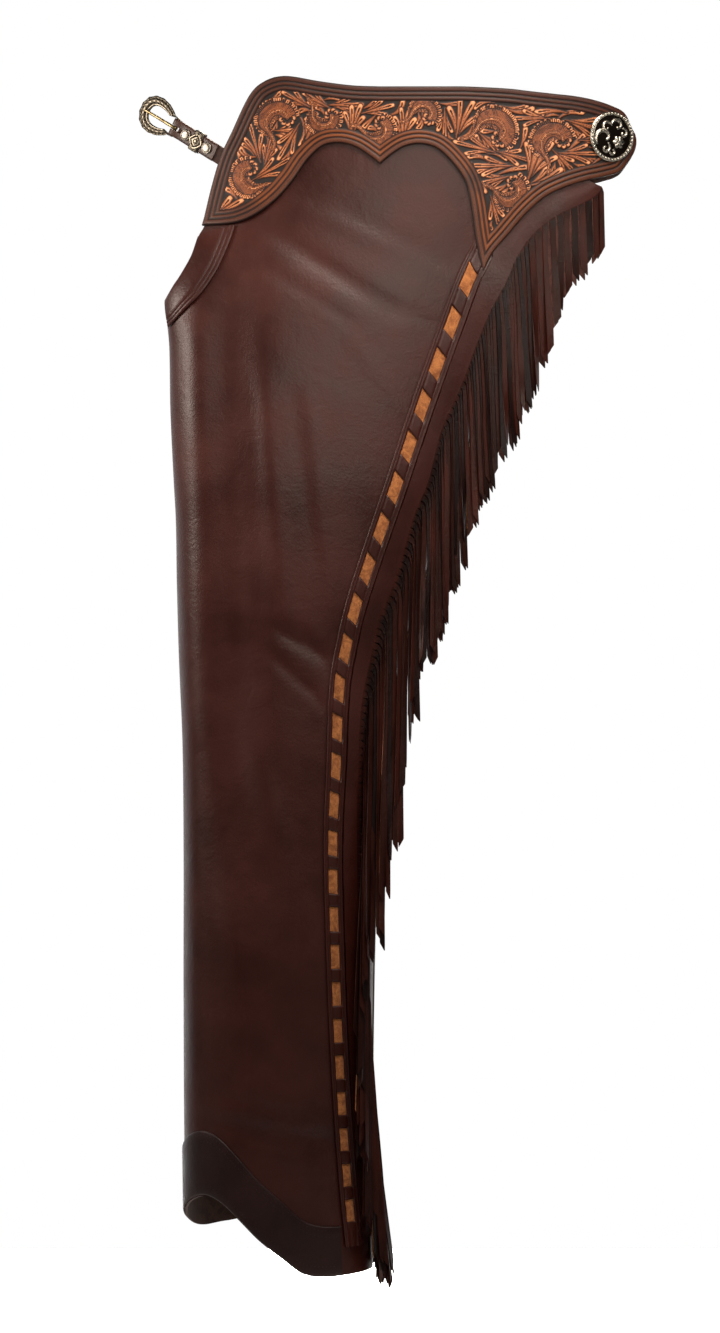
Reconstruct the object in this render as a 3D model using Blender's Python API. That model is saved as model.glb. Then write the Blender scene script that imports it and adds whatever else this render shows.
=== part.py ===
"""A pair of western show chaps, filled out as if worn, hanging from the waist.

Frame: +X runs from the front of the garment to its back, +Z is up, and the wearer's left leg is at
-Y. The origin is the centre of the waist loop. Every skin point is found from two numbers: the
angle round the leg's section (0 at the back, 90 outside, 180 at the front, 270 inside) and the drop
below the waist. A piece that lies on a panel is made from the panel's points, moved out.

Lengths are in millimetres until make_object scales them to metres.
"""
import math
from bisect import bisect_right
from collections import namedtuple

import bmesh
import bpy
from mathutils import Matrix, Vector

MM = 0.001
SIDES = {"left": 1.0, "right": -1.0}          # factor on Y: the right leg is a mirror image

# ---- driving dimensions, in millimetres --------------------------------------------------------
PANEL_WALL = 2.0          # chap leather
SEAM_GAP = 0.5            # from a panel's face to what lies on it
CURVE_GAP = 1.3           # the same where the panel curves strongly
YOKE_THICK = 3.0          # tooled skirting leather
YOKE_BORDER = 13.0        # raised rim round the yoke
OVERLAY_THICK = 1.4       # hem band and thigh edge binding
SUEDE_THICK = 0.7
LACE_GAP = 0.9            # the suede under the lace band lies this far off the panel
BAND_THICK = 1.7
WINDOW_COUNT = 25
FRINGE_THICK = 1.0
STRAND_WIDTH = 6.4
STRAND_PITCH = 11.3       # along the root line
STRAND_LEAN = 0.15        # how far a strand stands off the leg for each millimetre that it hangs
STRAP_WIDTH = 16.0
STRAP_PLY = 1.6
CONCHO_RADIUS = 22.5
ZIP_ANGLE = 8.0           # half the opening at the back of the leg, in degrees of section

# ---- sections of the leg, from the waist to the hem --------------------------------------------
# drop below the waist; front and back: X of the section's ends; mid and half: its centre and half
# depth in Y; full: how much fuller than an ellipse its corners are
Section = namedtuple("Section", "drop front back mid half full")
SECTIONS = (
    Section(-50, -216, 212, 0, 88, 0.00),
    Section(9, -214, 212, 0, 90, 0.00),
    Section(41, -213, 205, -8, 85, 0.00),
    Section(86, -212, 162, -28, 71, 0.02),
    Section(113, -222, 135, -42, 61, 0.06),
    Section(151, -229, 104, -60, 50, 0.12),
    Section(195, -226, 80, -65, 50, 0.18),
    Section(251, -225, 54, -68, 53, 0.22),
    Section(315, -222, 34, -71, 55, 0.25),
    Section(352, -220, 21, -71, 56, 0.25),
    Section(413, -219, 1, -72, 56, 0.25),
    Section(481, -217, -18, -72, 56, 0.25),
    Section(553, -214, -30, -73, 57, 0.25),
    Section(648, -213, -38, -74, 58, 0.25),
    Section(783, -213, -42, -75, 59, 0.25),
    Section(945, -212, -43, -75, 61, 0.25),
    Section(1044, -210, -41, -75, 62, 0.25),
)

# soft folds of the filled leg: a trough from one point to another, in X and drop
Fold = namedtuple("Fold", "outer x0 drop0 x1 drop1 reach depth")
FOLDS = (
    Fold(True, -168, 150, -174, 545, 15, 3.6),
    Fold(True, -137, 88, -30, 162, 9, 1.8),
    Fold(True, -118, 455, -92, 470, 7, 2.2),
    Fold(True, -198, 890, -90, 908, 9, 1.8),
    Fold(False, -150, 220, -120, 560, 18, 3.4),
    Fold(False, -40, 430, -110, 505, 10, 2.6),
    Fold(False, -180, 870, -70, 890, 10, 2.0),
)
FOLD_END = 15.0           # a fold fades out over this length

# hem: drop of the bottom edge against the angle round the leg
Edge = namedtuple("Edge", "angle drop")
HEM_EDGE = (
    Edge(0, 1022), Edge(35, 1027), Edge(62, 1030), Edge(76, 1027), Edge(88, 1014), Edge(102, 998),
    Edge(116, 978), Edge(128, 964), Edge(140, 958), Edge(155, 961), Edge(170, 968), Edge(190, 979),
    Edge(212, 987), Edge(235, 984), Edge(255, 982), Edge(280, 1000), Edge(310, 1018),
    Edge(360, 1022),
)
INNER_TOP = (Edge(180, 151), Edge(215, 158), Edge(270, 172), Edge(320, 184), Edge(360, 184))
HEM_BAND_HEIGHT = (Edge(0, 44), Edge(60, 45), Edge(90, 52), Edge(130, 58), Edge(180, 58),
                   Edge(270, 52), Edge(360, 44))

# outlines seen from the side: X and drop
FRONT_EDGE = ((-229, 151), (-222, 139), (-216, 130), (-206, 112), (-200, 95), (-194, 84),
              (-190, 66), (-184, 49), (-176, 22), (-164, -4), (-151, -30), (-143, -40))
REAR_EDGE = ((78, 184), (74, 160), (72, 144), (75, 119), (90, 92), (108, 74), (130, 59), (162, 48),
             (181, 40), (191, 26), (194, 9), (191, -6), (184, -18))
WAIST_EDGE = ((-151, -33), (-144, -42), (-135, -47), (-126, -49), (-108, -47), (-90, -44),
              (-54, -40), (0, -39), (54, -39), (90, -36), (126, -33), (153, -29), (171, -24),
              (184, -18))
THIGH_SEAM = ((-225, 177), (-211, 162), (-196, 147), (-183, 128), (-175, 111), (-169, 96),
              (-166, 86))

# the yoke's lower edge, in runs that meet at corners, and its upper edge over the same runs
YOKE_RUNS = (
    (((-195, 86), (-166, 84), (-148, 77), (-129, 63), (-114, 46), (-100, 26), (-86, 14), (-71, 12),
      (-57, 16), (-42, 26), (-36, 31)),
     ((-193, 79), (-186, 49), (-178, 22), (-168, 0), (-155, -28), (-146, -40), (-133, -47),
      (-119, -49), (-90, -44), (-60, -40), (-36, -39)), 12),
    (((-36, 31), (-25, 22), (-13, 15), (1, 13), (15, 17), (30, 31), (40, 46), (45, 63), (50, 98),
      (56, 129)),
     ((-36, -39), (-20, -39), (0, -39), (20, -39), (40, -39), (66, -38)), 9),
    (((56, 129), (64, 112), (78, 95), (95, 75), (112, 60), (130, 51), (148, 45), (165, 41),
      (179, 36), (188, 25)),
     ((66, -38), (82, -37), (100, -35), (120, -33), (140, -31), (156, -28), (172, -23), (183, -17),
      (190, -3)), 9),
)

# centre line of the lace band, its half width, and the fringe's root line
BAND_LINE = ((50, 105), (47, 118), (43, 135), (30, 170), (3, 245), (-22, 320), (-47, 393),
             (-59, 431), (-67, 466), (-73, 502), (-76, 570), (-79, 642), (-77, 743), (-73, 845), (-67, 940),
             (-61, 1005))
BAND_HALF = (Edge(118, 11.0), Edge(420, 9.5), Edge(640, 8.0), Edge(1005, 7.0))
ROOT_LINE = ((162, 55), (142, 65), (124, 75), (103, 91), (87, 112), (77, 135), (61, 165),
             (49, 194), (37, 226), (17, 272), (6, 315), (-8, 350), (-27, 413), (-39, 440),
             (-47, 480), (-53, 507), (-57, 553), (-59, 640), (-58, 743), (-56, 845), (-53, 900),
             (-49, 950), (-46, 995))
STRIP_WIDTH = 11.0
STRAND_LENGTH = (Edge(50, 55), Edge(61, 59), Edge(67, 66), Edge(78, 97), Edge(93, 130),
                 Edge(127, 142), Edge(165, 138), Edge(210, 136), Edge(253, 152), Edge(280, 160),
                 Edge(310, 156), Edge(360, 146), Edge(390, 180), Edge(417, 225), Edge(440, 262),
                 Edge(520, 240), Edge(745, 235), Edge(850, 190), Edge(900, 148), Edge(950, 100),
                 Edge(995, 60))
FRINGE_BOTTOM = 1041.0    # the lowest strands are trimmed just below the hem

CONCHO_PLACE = (170, 5)
STRAP_EXIT = (-178, 25)                       # where the buckle strap leaves the yoke's edge
STRAP_RISE = 0.55                             # climb for each millimetre along the waist
STRAP_FREE = 63.0                             # from the yoke's edge to the buckle's bar
BAR_RADIUS = 1.5

CHAP_LEATHER = ("oxblood_chap_leather", (0.042, 0.016, 0.012), 0.42, 0.0)
YOKE_LEATHER = ("tooled_skirting_leather", (0.25, 0.075, 0.025), 0.45, 0.0)
STRAP_LEATHER = ("strap_leather", (0.05, 0.018, 0.012), 0.4, 0.0)
RUST_SUEDE = ("rust_suede", (0.40, 0.14, 0.035), 0.95, 0.0)
SILVER = ("engraved_silver_plate", (0.72, 0.70, 0.66), 0.25, 1.0)
PRONG_BRASS = ("brass_prong", (0.68, 0.55, 0.30), 0.3, 1.0)
ZIP_TAPE = ("zip_tape_and_chain", (0.02, 0.012, 0.01), 0.7, 0.0)
ZIP_METAL = ("antique_zip_metal", (0.28, 0.22, 0.15), 0.35, 1.0)


# ---- smooth curves -----------------------------------------------------------------------------
def smooth_value(keys, values, key):
    """Cubic through a table, held flat past its ends."""
    last = len(keys) - 1
    key = min(max(key, keys[0]), keys[last])
    i = min(bisect_right(keys, key) - 1, last - 1)

    def slope(k):
        lo, hi = max(k - 1, 0), min(k + 1, last)
        return (values[hi] - values[lo]) / (keys[hi] - keys[lo])

    span = keys[i + 1] - keys[i]
    t = (key - keys[i]) / span
    return ((1 + 2 * t) * (1 - t) ** 2 * values[i] + t * t * (3 - 2 * t) * values[i + 1]
            + span * (t * (1 - t) ** 2 * slope(i) - t * t * (1 - t) * slope(i + 1)))


def table_value(table, key):
    return smooth_value([row[0] for row in table], [row[1] for row in table], key)


def run_lengths(points):
    lengths = [0.0]
    for a, b in zip(points, points[1:]):
        lengths.append(lengths[-1] + math.dist(a, b))
    return lengths


def along(points, share):
    """The point at a share of the length of a smooth line through the points."""
    lengths = run_lengths(points)
    place = share * lengths[-1]
    return tuple(smooth_value(lengths, [p[k] for p in points], place) for k in range(2))


def x_on(line, drop):
    """X of a line that runs downwards, at a given drop."""
    return smooth_value([p[1] for p in line], [p[0] for p in line], drop)


def turned(line, x):
    return smooth_value([p[0] for p in line], [p[1] for p in line], x)


# ---- the skin of a leg -------------------------------------------------------------------------
def section_at(drop):
    keys = [s.drop for s in SECTIONS]
    front, back, mid, half, full = (smooth_value(keys, [s[k] for s in SECTIONS], drop)
                                    for k in range(1, 6))
    return (front + back) / 2, (back - front) / 2, mid, half, full


def fold_depth(x, drop, outer):
    depth = 0.0
    for fold in FOLDS:
        if fold.outer != outer:
            continue
        run = Vector((fold.x1 - fold.x0, fold.drop1 - fold.drop0))
        place = Vector((x - fold.x0, drop - fold.drop0))
        t = place.dot(run) / run.length
        past = max(0.0, -t, t - run.length)
        side = (place - run.normalized() * t).length
        depth += fold.depth * math.exp(-(side / fold.reach) ** 2 - (past / FOLD_END) ** 2)
    return depth


def surface(angle, drop):
    centre, reach, mid, half, full = section_at(drop)
    a = math.radians(angle)
    x = centre + reach * math.cos(a)
    bulge = math.sin(a) * (1 + full * math.cos(a) ** 2)
    inward = fold_depth(x, drop, math.sin(a) > 0) * math.sin(a)
    return Vector((x, mid - half * bulge + inward, -drop))


def skin(angle, drop, lift=0.0):
    """A point of the leg's outer skin, moved out along the skin's normal."""
    step = 0.5
    round_leg = surface(angle + step, drop) - surface(angle - step, drop)
    down_leg = surface(angle, drop + step) - surface(angle, drop - step)
    return surface(angle, drop) + round_leg.cross(down_leg).normalized() * lift


def angle_of(x, drop):
    """Angle of the outer skin at a place seen from the side."""
    centre, reach, *_ = section_at(drop)
    return math.degrees(math.acos(min(max((x - centre) / reach, -1.0), 1.0)))


def skin_at(x, drop, lift=0.0):
    return skin(angle_of(x, drop), drop, lift)


# ---- meshes ------------------------------------------------------------------------------------
def make_material(finish):
    name, colour, roughness, metallic = finish
    material = bpy.data.materials.get(name)
    if material is None:
        material = bpy.data.materials.new(name)
        material.use_nodes = True
        shader = material.node_tree.nodes["Principled BSDF"]
        shader.inputs["Base Color"].default_value = (*colour, 1.0)
        shader.inputs["Roughness"].default_value = roughness
        shader.inputs["Metallic"].default_value = metallic
    return material


def make_object(name, bm, finish, side=1.0, sharp=40.0):
    """Scales a mesh in millimetres to metres, mirrors it for the right leg and links it."""
    bmesh.ops.transform(bm, matrix=Matrix.Diagonal((MM, MM * side, MM, 1.0)), verts=bm.verts)
    bmesh.ops.recalc_face_normals(bm, faces=bm.faces)
    mesh = bpy.data.meshes.new(name)
    bm.to_mesh(mesh)
    bm.free()
    mesh.materials.append(make_material(finish))
    mesh.shade_smooth()
    mesh.set_sharp_from_angle(angle=math.radians(sharp))
    obj = bpy.data.objects.new(name, mesh)
    bpy.context.scene.collection.objects.link(obj)
    return obj


def sheet_mesh(outer, inner, keep=lambda i, j: True):
    """A closed wall between two grids of points; a cell that keep refuses is left open."""
    bm = bmesh.new()
    verts = {}

    def vert(layer, i, j):
        if (layer, i, j) not in verts:
            verts[layer, i, j] = bm.verts.new((outer, inner)[layer][i][j])
        return verts[layer, i, j]

    cells = {(i, j) for i in range(len(outer) - 1) for j in range(len(outer[0]) - 1) if keep(i, j)}
    for i, j in cells:
        ring = ((i, j), (i + 1, j), (i + 1, j + 1), (i, j + 1))
        bm.faces.new([vert(0, *p) for p in ring])
        bm.faces.new([vert(1, *p) for p in reversed(ring)])
        neighbours = ((i, j - 1), (i + 1, j), (i, j + 1), (i - 1, j))
        for k, neighbour in enumerate(neighbours):
            if neighbour not in cells:
                a, b = ring[k], ring[(k + 1) % 4]
                bm.faces.new((vert(0, *b), vert(0, *a), vert(1, *a), vert(1, *b)))
    return bm


def prism_mesh(rings, closed=False):
    """A body through rings of equal count, capped at both ends or closed on itself."""
    bm = bmesh.new()
    loops = [[bm.verts.new(p) for p in ring] for ring in rings]
    pairs = list(zip(loops, loops[1:]))
    if closed:
        pairs.append((loops[-1], loops[0]))
    for a, b in pairs:
        for k in range(len(a)):
            n = (k + 1) % len(a)
            bm.faces.new((a[k], a[n], b[n], b[k]))
    if not closed:
        bm.faces.new(list(reversed(loops[0])))
        bm.faces.new(loops[-1])
    return bm


def joined_by_union(name, meshes, finish, side=1.0):
    """Several closed meshes in one frame, made one body by exact unions."""
    objects = [make_object(name if k == 0 else f"{name}.tool{k}", bm, finish, side)
               for k, bm in enumerate(meshes)]
    base = objects[0]
    for tool in objects[1:]:
        modifier = base.modifiers.new("union", "BOOLEAN")
        modifier.operation = "UNION"
        modifier.object = tool
        tool.hide_render = True
        tool.display_type = "WIRE"
    return base


# ---- leg panel ---------------------------------------------------------------------------------
LEG_COLUMNS_OUTER = 14
LEG_COLUMNS_INNER = 10
LEG_ROWS = 12
HIP_ROWS = 6


def leg_point(column, row):
    """Angle and drop of a grid point of the panel; rows past LEG_ROWS are above the crotch."""
    share = column / LEG_COLUMNS_OUTER
    front_drop = FRONT_EDGE[0][1]
    if row <= LEG_ROWS:
        if column <= LEG_COLUMNS_OUTER:
            angle = ZIP_ANGLE + (180 - ZIP_ANGLE) * share
            top = REAR_EDGE[0][1] * (1 - share) + front_drop * share
        else:
            angle = 180 + (180 - ZIP_ANGLE) * (column - LEG_COLUMNS_OUTER) / LEG_COLUMNS_INNER
            top = table_value(INNER_TOP, angle)
        bottom = table_value(HEM_EDGE, angle)
        return angle, bottom + (top - bottom) * row / LEG_ROWS
    rise = (row - LEG_ROWS) / HIP_ROWS
    left, right = along(FRONT_EDGE, rise), along(REAR_EDGE, rise)
    right_angle = ZIP_ANGLE if rise == 0 else angle_of(*right)
    angle = right_angle + (angle_of(*left) - right_angle) * share
    drop = right[1] * (1 - share) + left[1] * share
    centre, reach, *_ = section_at(drop)
    waist = turned(WAIST_EDGE, centre + reach * math.cos(math.radians(angle)))
    return angle, drop + rise ** 2 * (waist - (WAIST_EDGE[-1][1] * (1 - share)
                                               + FRONT_EDGE[-1][1] * share))


def make_leg_panel(side_name, side):
    columns = range(LEG_COLUMNS_OUTER + LEG_COLUMNS_INNER + 1)
    grids = []
    for lift in (0.0, -PANEL_WALL):
        grids.append([[skin(*leg_point(min(c, LEG_COLUMNS_OUTER) if r > LEG_ROWS else c, r), lift)
                       for r in range(LEG_ROWS + HIP_ROWS + 1)] for c in columns])

    def keep(column, row):
        return row < LEG_ROWS or column < LEG_COLUMNS_OUTER

    make_object(f"leg_panel_{side_name}", sheet_mesh(*grids, keep), CHAP_LEATHER, side)


# ---- yoke --------------------------------------------------------------------------------------
def make_yoke(side_name, side):
    outer, inner = [], []
    for run, (lower, upper, steps) in enumerate(YOKE_RUNS):
        for k in range(0 if run == 0 else 1, steps + 1):
            low, high = Vector(along(lower, k / steps)), Vector(along(upper, k / steps))
            width = (high - low).length
            rim = min(YOKE_BORDER / width, 0.42)
            shares = (0.0, rim * 0.45, rim, 0.5, 1 - rim, 1 - rim * 0.45, 1.0)
            lifts = (2.2, YOKE_THICK, 2.3, 2.8, 2.3, YOKE_THICK, 2.2)
            places = [low.lerp(high, share) for share in shares]
            outer.append([skin_at(*p, CURVE_GAP + lift) for p, lift in zip(places, lifts)])
            inner.append([skin_at(*p, CURVE_GAP) for p in places])
    make_object(f"yoke_{side_name}", sheet_mesh(outer, inner), YOKE_LEATHER, side)


# ---- overlays on the panel ---------------------------------------------------------------------
def overlay(name, places, base, thick, finish, side, keep=lambda i, j: True):
    """A wall that lies on the skin: places holds rows of (angle, drop)."""
    outer = [[skin(*p, base + thick) for p in row] for row in places]
    inner = [[skin(*p, base) for p in row] for row in places]
    return make_object(name, sheet_mesh(outer, inner, keep), finish, side)


def make_thigh_edge(side_name, side):
    """The binding between the yoke's front tip and the crotch point."""
    steps, across = 6, 4
    inset = 1.2
    rows = []
    for k in range(steps + 1):
        seam = along(THIGH_SEAM, k / steps)
        edge = along(FRONT_EDGE[:5], k / steps)
        seam_angle, edge_angle = angle_of(*seam), angle_of(edge[0] + inset, edge[1])
        rows.append([(seam_angle + (edge_angle - seam_angle) * a / across,
                      seam[1] + (edge[1] + inset - seam[1]) * a / across)
                     for a in range(across + 1)])
    overlay(f"thigh_edge_{side_name}", rows, CURVE_GAP, OVERLAY_THICK, CHAP_LEATHER, side)


def band_half(drop):
    return table_value(BAND_HALF, drop)


def make_hem_band(side_name, side):
    """Runs from the lace band round the front and the inside to the zip."""
    inset = 1.0
    first = 3
    rows = []
    for column in range(first, LEG_COLUMNS_OUTER + LEG_COLUMNS_INNER + 1):
        angle = leg_point(column, 0)[0]
        if column == first:
            drop = 975.0
            angle = angle_of(x_on(BAND_LINE, drop) - band_half(drop) - inset, drop)
        if column == LEG_COLUMNS_OUTER + LEG_COLUMNS_INNER:
            angle -= 1.0
        bottom = table_value(HEM_EDGE, angle) - inset
        top = table_value(HEM_EDGE, angle) - table_value(HEM_BAND_HEIGHT, angle)
        rows.append([(angle, bottom + (top - bottom) * k / 3) for k in range(4)])
    overlay(f"hem_band_{side_name}", rows, SEAM_GAP, OVERLAY_THICK, CHAP_LEATHER, side)


# ---- lace band with its windows ----------------------------------------------------------------
BAND_TOP = 120.0
BAND_TOP_SLANT = 9.0      # its top end is cut along the yoke's edge
WINDOW_FIRST = 135.0      # drop of the first window's centre
WINDOW_LAST = 971.0
WINDOW_HEIGHT = (Edge(0, 21.0), Edge(12, 22.5), Edge(24, 20.0))
WINDOW_SLANT = (Edge(0, 6.2), Edge(10, 5.0), Edge(16, 0.6), Edge(24, 0.3))
WINDOW_SHARE = 0.50       # of the band's width
PITCH_CHANGE = 0.09       # the windows stand this much wider apart at the top than in the middle


def window_drop(number):
    share = number / (WINDOW_COUNT - 1)
    return (WINDOW_FIRST + (WINDOW_LAST - WINDOW_FIRST)
            * (share + PITCH_CHANGE * share * (1 - share)))


def band_place(drop, across):
    """A place at a share of the band's half width from its centre line."""
    slope = (x_on(BAND_LINE, drop + 1) - x_on(BAND_LINE, drop - 1)) / 2
    side = band_half(drop) * across
    scale = math.hypot(1.0, slope)
    x = x_on(BAND_LINE, drop) + side / scale
    return angle_of(x, drop - side * slope / scale), drop - side * slope / scale


def band_rows(shares):
    """Rows across the band: its top, both ends of each window, and its bottom."""
    rows = [[band_place(BAND_TOP + BAND_TOP_SLANT * s, s) for s in shares]]
    for number in range(WINDOW_COUNT):
        centre = window_drop(number)
        half = table_value(WINDOW_HEIGHT, number) / 2
        slant = table_value(WINDOW_SLANT, number)
        for end in (-half, half):
            rows.append([band_place(centre + end + slant * s, s) for s in shares])
    rows.append([band_place(1003.0, s) for s in shares])
    return rows


def make_lace_band(side_name, side):
    rows = band_rows((-1.0, -WINDOW_SHARE, WINDOW_SHARE, 1.0))
    base = LACE_GAP + SUEDE_THICK + 0.3

    def keep(row, column):
        return column != 1 or row % 2 == 0

    overlay(f"lace_band_{side_name}", rows, base, BAND_THICK, CHAP_LEATHER, side, keep)
    suede = WINDOW_SHARE * 1.3
    overlay(f"lace_{side_name}", band_rows((-suede, suede))[::2], LACE_GAP, SUEDE_THICK,
            RUST_SUEDE, side)


# ---- fringe ------------------------------------------------------------------------------------
UNDER_EVERY = 5
UNDER_FROM, UNDER_TO = 140.0, 960.0           # drops between which the under layer runs
WAVES = (0.0, 4.5, 1.5, 6.5, 3.0, 5.5)        # how far strands swing out before they hang
UNDER_WAVES = (7.0, 10.0, 8.5)
LAYER_STEP = 1.95         # from the upper strip down to the under one
TIP_WIDTH = 0.8
STRAND_CLEAR = 1.2        # from the strip's edge to a hanging strand


def fringe_slots():
    """Root places at even steps down the root line."""
    length = run_lengths(ROOT_LINE)[-1]
    count = int(length / STRAND_PITCH)
    return [(k + 0.5) / count for k in range(count)], STRAND_WIDTH / 2 / length


def strand_axes(share):
    """Root point, tangent along the leg, outward normal and the root line's own direction."""
    x, drop = along(ROOT_LINE, share)
    angle = angle_of(x, drop)
    root = surface(angle, drop)
    normal = skin(angle, drop, 1.0) - root
    normal.z = 0.0
    normal.normalize()
    tangent = Vector((-normal.y, normal.x, 0.0))
    ahead, behind = along(ROOT_LINE, share + 0.002), along(ROOT_LINE, share - 0.002)
    line = (surface(angle_of(*ahead), ahead[1]) - surface(angle_of(*behind), behind[1]))
    return root, tangent, normal, Vector((line.dot(tangent), line.z)).normalized(), drop


def strand_rings(axes, level, swing, length, sway):
    """Rings of one strand after its root; each lies in a plane that leans off the leg."""
    root, tangent, normal, line, _ = axes
    half = STRAND_WIDTH / 2
    low_corner = line * half
    hang = low_corner.x + STRAND_CLEAR + swing + half
    # centre of each ring across and down from the root, and its half width
    path = ((hang, low_corner.y - 6.5 - swing, half),
            (hang + sway, -0.8 * length, half * 0.92),
            (hang + 1.3 * sway, -length, TIP_WIDTH / 2))
    rings = []
    for x, y, reach in path:
        corners = ((1, 0), (-1, 0)) if reach < half / 2 else ((1, 1), (-1, 1), (-1, -1), (1, -1))
        rings.append([root + tangent * (x + side * reach) + Vector((0, 0, y))
                      + normal * (level - STRAND_LEAN * y + face * FRINGE_THICK / 2)
                      for side, face in corners])
    return rings


def strip_points(share, level, lean_from):
    """The four corners of the root strip's section at a place of the root line."""
    root, tangent, normal, line, drop = strand_axes(share)
    lean = STRAND_LEAN * (lean_from + root.z)
    out = Vector((-line.y, line.x))
    back = -(tangent * out.x + Vector((0, 0, out.y))) * STRIP_WIDTH
    half = normal * (FRINGE_THICK / 2)
    inner_place = root + back
    inner_x, inner_drop = inner_place.x, -inner_place.z
    if drop > BAND_TOP:
        inner_x = max(inner_x, x_on(BAND_LINE, inner_drop) + band_half(inner_drop) + 1.5)
    inner = skin_at(inner_x, inner_drop, level)
    outer = root + normal * (level - lean)
    return outer + half, outer - half, inner + half, inner - half


def make_fringe(name, side, slots, level, waves, finish, extra=0.0):
    """A comb: a narrow strip along the root line with strands that grow out of its edge."""
    _, half_width = fringe_slots()
    bm = bmesh.new()

    def add(points):
        return [bm.verts.new(p) for p in points]

    previous = None
    for number, share in slots:
        axes = strand_axes(share)
        drop = axes[4]
        start = add(strip_points(share - half_width, level, drop))
        end = add(strip_points(share + half_width, level, drop))
        if previous is None:
            bm.faces.new((start[0], start[1], start[3], start[2]))
        else:
            joining = (previous, start)
            for a, b in ((0, 1), (1, 3), (3, 2), (2, 0)):
                bm.faces.new((joining[0][a], joining[0][b], joining[1][b], joining[1][a]))
        for a, b in ((1, 3), (3, 2), (2, 0)):
            bm.faces.new((start[a], start[b], end[b], end[a]))
        length = table_value(STRAND_LENGTH, drop) * (1 + 0.06 * math.sin(number * 2.4)) + extra
        length = min(length, FRINGE_BOTTOM - 6 * (number % 3) - drop)
        swing = waves[number % len(waves)] * min(max((drop - 250) / 250, 0.0), 1.0)
        sway = 1.5 * math.sin(number * 1.7) if drop > 300 else 0.0
        rings = strand_rings(axes, level, swing, length, sway)
        loop = [start[0], end[0], end[1], start[1]]
        for ring in rings[:-1]:
            following = add(ring)
            for k in range(4):
                n = (k + 1) % 4
                bm.faces.new((loop[k], loop[n], following[n], following[k]))
            loop = following
        left, right = add(rings[-1])
        bm.faces.new((loop[0], loop[1], right, left))
        bm.faces.new((loop[2], loop[3], left, right))
        bm.faces.new((loop[1], loop[2], right))
        bm.faces.new((loop[3], loop[0], left))
        previous = end
    bm.faces.new((previous[0], previous[2], previous[3], previous[1]))
    make_object(name, bm, finish, side)


def make_fringes(side_name, side):
    shares, _ = fringe_slots()
    upper, under = [], []
    for number, share in enumerate(shares):
        drop = along(ROOT_LINE, share)[1]
        if UNDER_FROM < drop < UNDER_TO and number % UNDER_EVERY == 2:
            under.append((number, share))
        elif under and under[-1][0] == number - 1:
            continue                          # the strand beneath comes out here
        upper.append((number, share))
    under_level = SEAM_GAP + FRINGE_THICK
    make_fringe(f"fringe_{side_name}", side, upper, under_level + LAYER_STEP, WAVES, CHAP_LEATHER)
    make_fringe(f"fringe_under_{side_name}", side, under, under_level, UNDER_WAVES, RUST_SUEDE,
                extra=8.0)


# ---- concho ------------------------------------------------------------------------------------
def local_frame(origin, forward, normal):
    """Matrix with X along forward, Z along normal."""
    normal = normal.normalized()
    across = normal.cross(forward).normalized()
    along_x = across.cross(normal)
    matrix = Matrix((along_x, across, normal)).transposed().to_4x4()
    matrix.translation = origin
    return matrix


def make_concho(side_name, side):
    segments = 24
    # radius as a share of the concho's, and height
    profile = ((0.96, 0.0), (1.0, 0.9), (0.95, 2.2), (0.86, 1.5), (0.5, 2.6))
    place = skin_at(*CONCHO_PLACE, CURVE_GAP + YOKE_THICK + 1.0)
    normal = skin_at(*CONCHO_PLACE, 1.0) - skin_at(*CONCHO_PLACE)
    frame = local_frame(place, Vector((1, 0, 0)), normal)
    rings = []
    for radius, height in profile:
        rings.append([frame @ Vector((CONCHO_RADIUS * radius * math.cos(2 * math.pi * k / segments),
                                      CONCHO_RADIUS * radius * math.sin(2 * math.pi * k / segments),
                                      height)) for k in range(segments)])
    make_object(f"concho_{side_name}", prism_mesh(rings), SILVER, side)


# ---- zip ---------------------------------------------------------------------------------------
def make_zip(side_name, side):
    """Tape in the gap at the back of the leg, with the chain down its middle."""
    rows = 8
    edge = ZIP_ANGLE - 1.0
    columns = ((-edge, 0.0), (-2.6, 0.0), (-2.2, 1.6), (2.2, 1.6), (2.6, 0.0), (edge, 0.0))
    outer, inner = [], []
    for k in range(rows + 1):
        top, bottom = REAR_EDGE[0][1] + 3, table_value(HEM_EDGE, 0) - 6
        drop = bottom + (top - bottom) * k / rows
        outer.append([skin(angle, drop, raised - 0.6) for angle, raised in columns])
        inner.append([skin(angle, drop, -1.7) for angle, _ in columns])
    make_object(f"zip_{side_name}", sheet_mesh(outer, inner), ZIP_TAPE, side)


ZIP_SLIDER_RISE = 26.0    # above the hem
ARCH_HALF = 4.0


def slider_frame():
    """Origin on the chain, X across the leg, Y up the leg, Z outward."""
    drop = table_value(HEM_EDGE, 0) - ZIP_SLIDER_RISE
    origin = skin(0.0, drop, 1.0)
    normal = skin(0.0, drop, 1.0) - skin(0.0, drop)
    return local_frame(origin, Vector((0, 1, 0)), normal)


def box_mesh(frame, low, high):
    corners = [(x, y) for x, y in ((low[0], low[1]), (high[0], low[1]), (high[0], high[1]),
                                   (low[0], high[1]))]
    return prism_mesh([[frame @ Vector((x, y, z)) for x, y in corners] for z in (low[2], high[2])])


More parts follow.
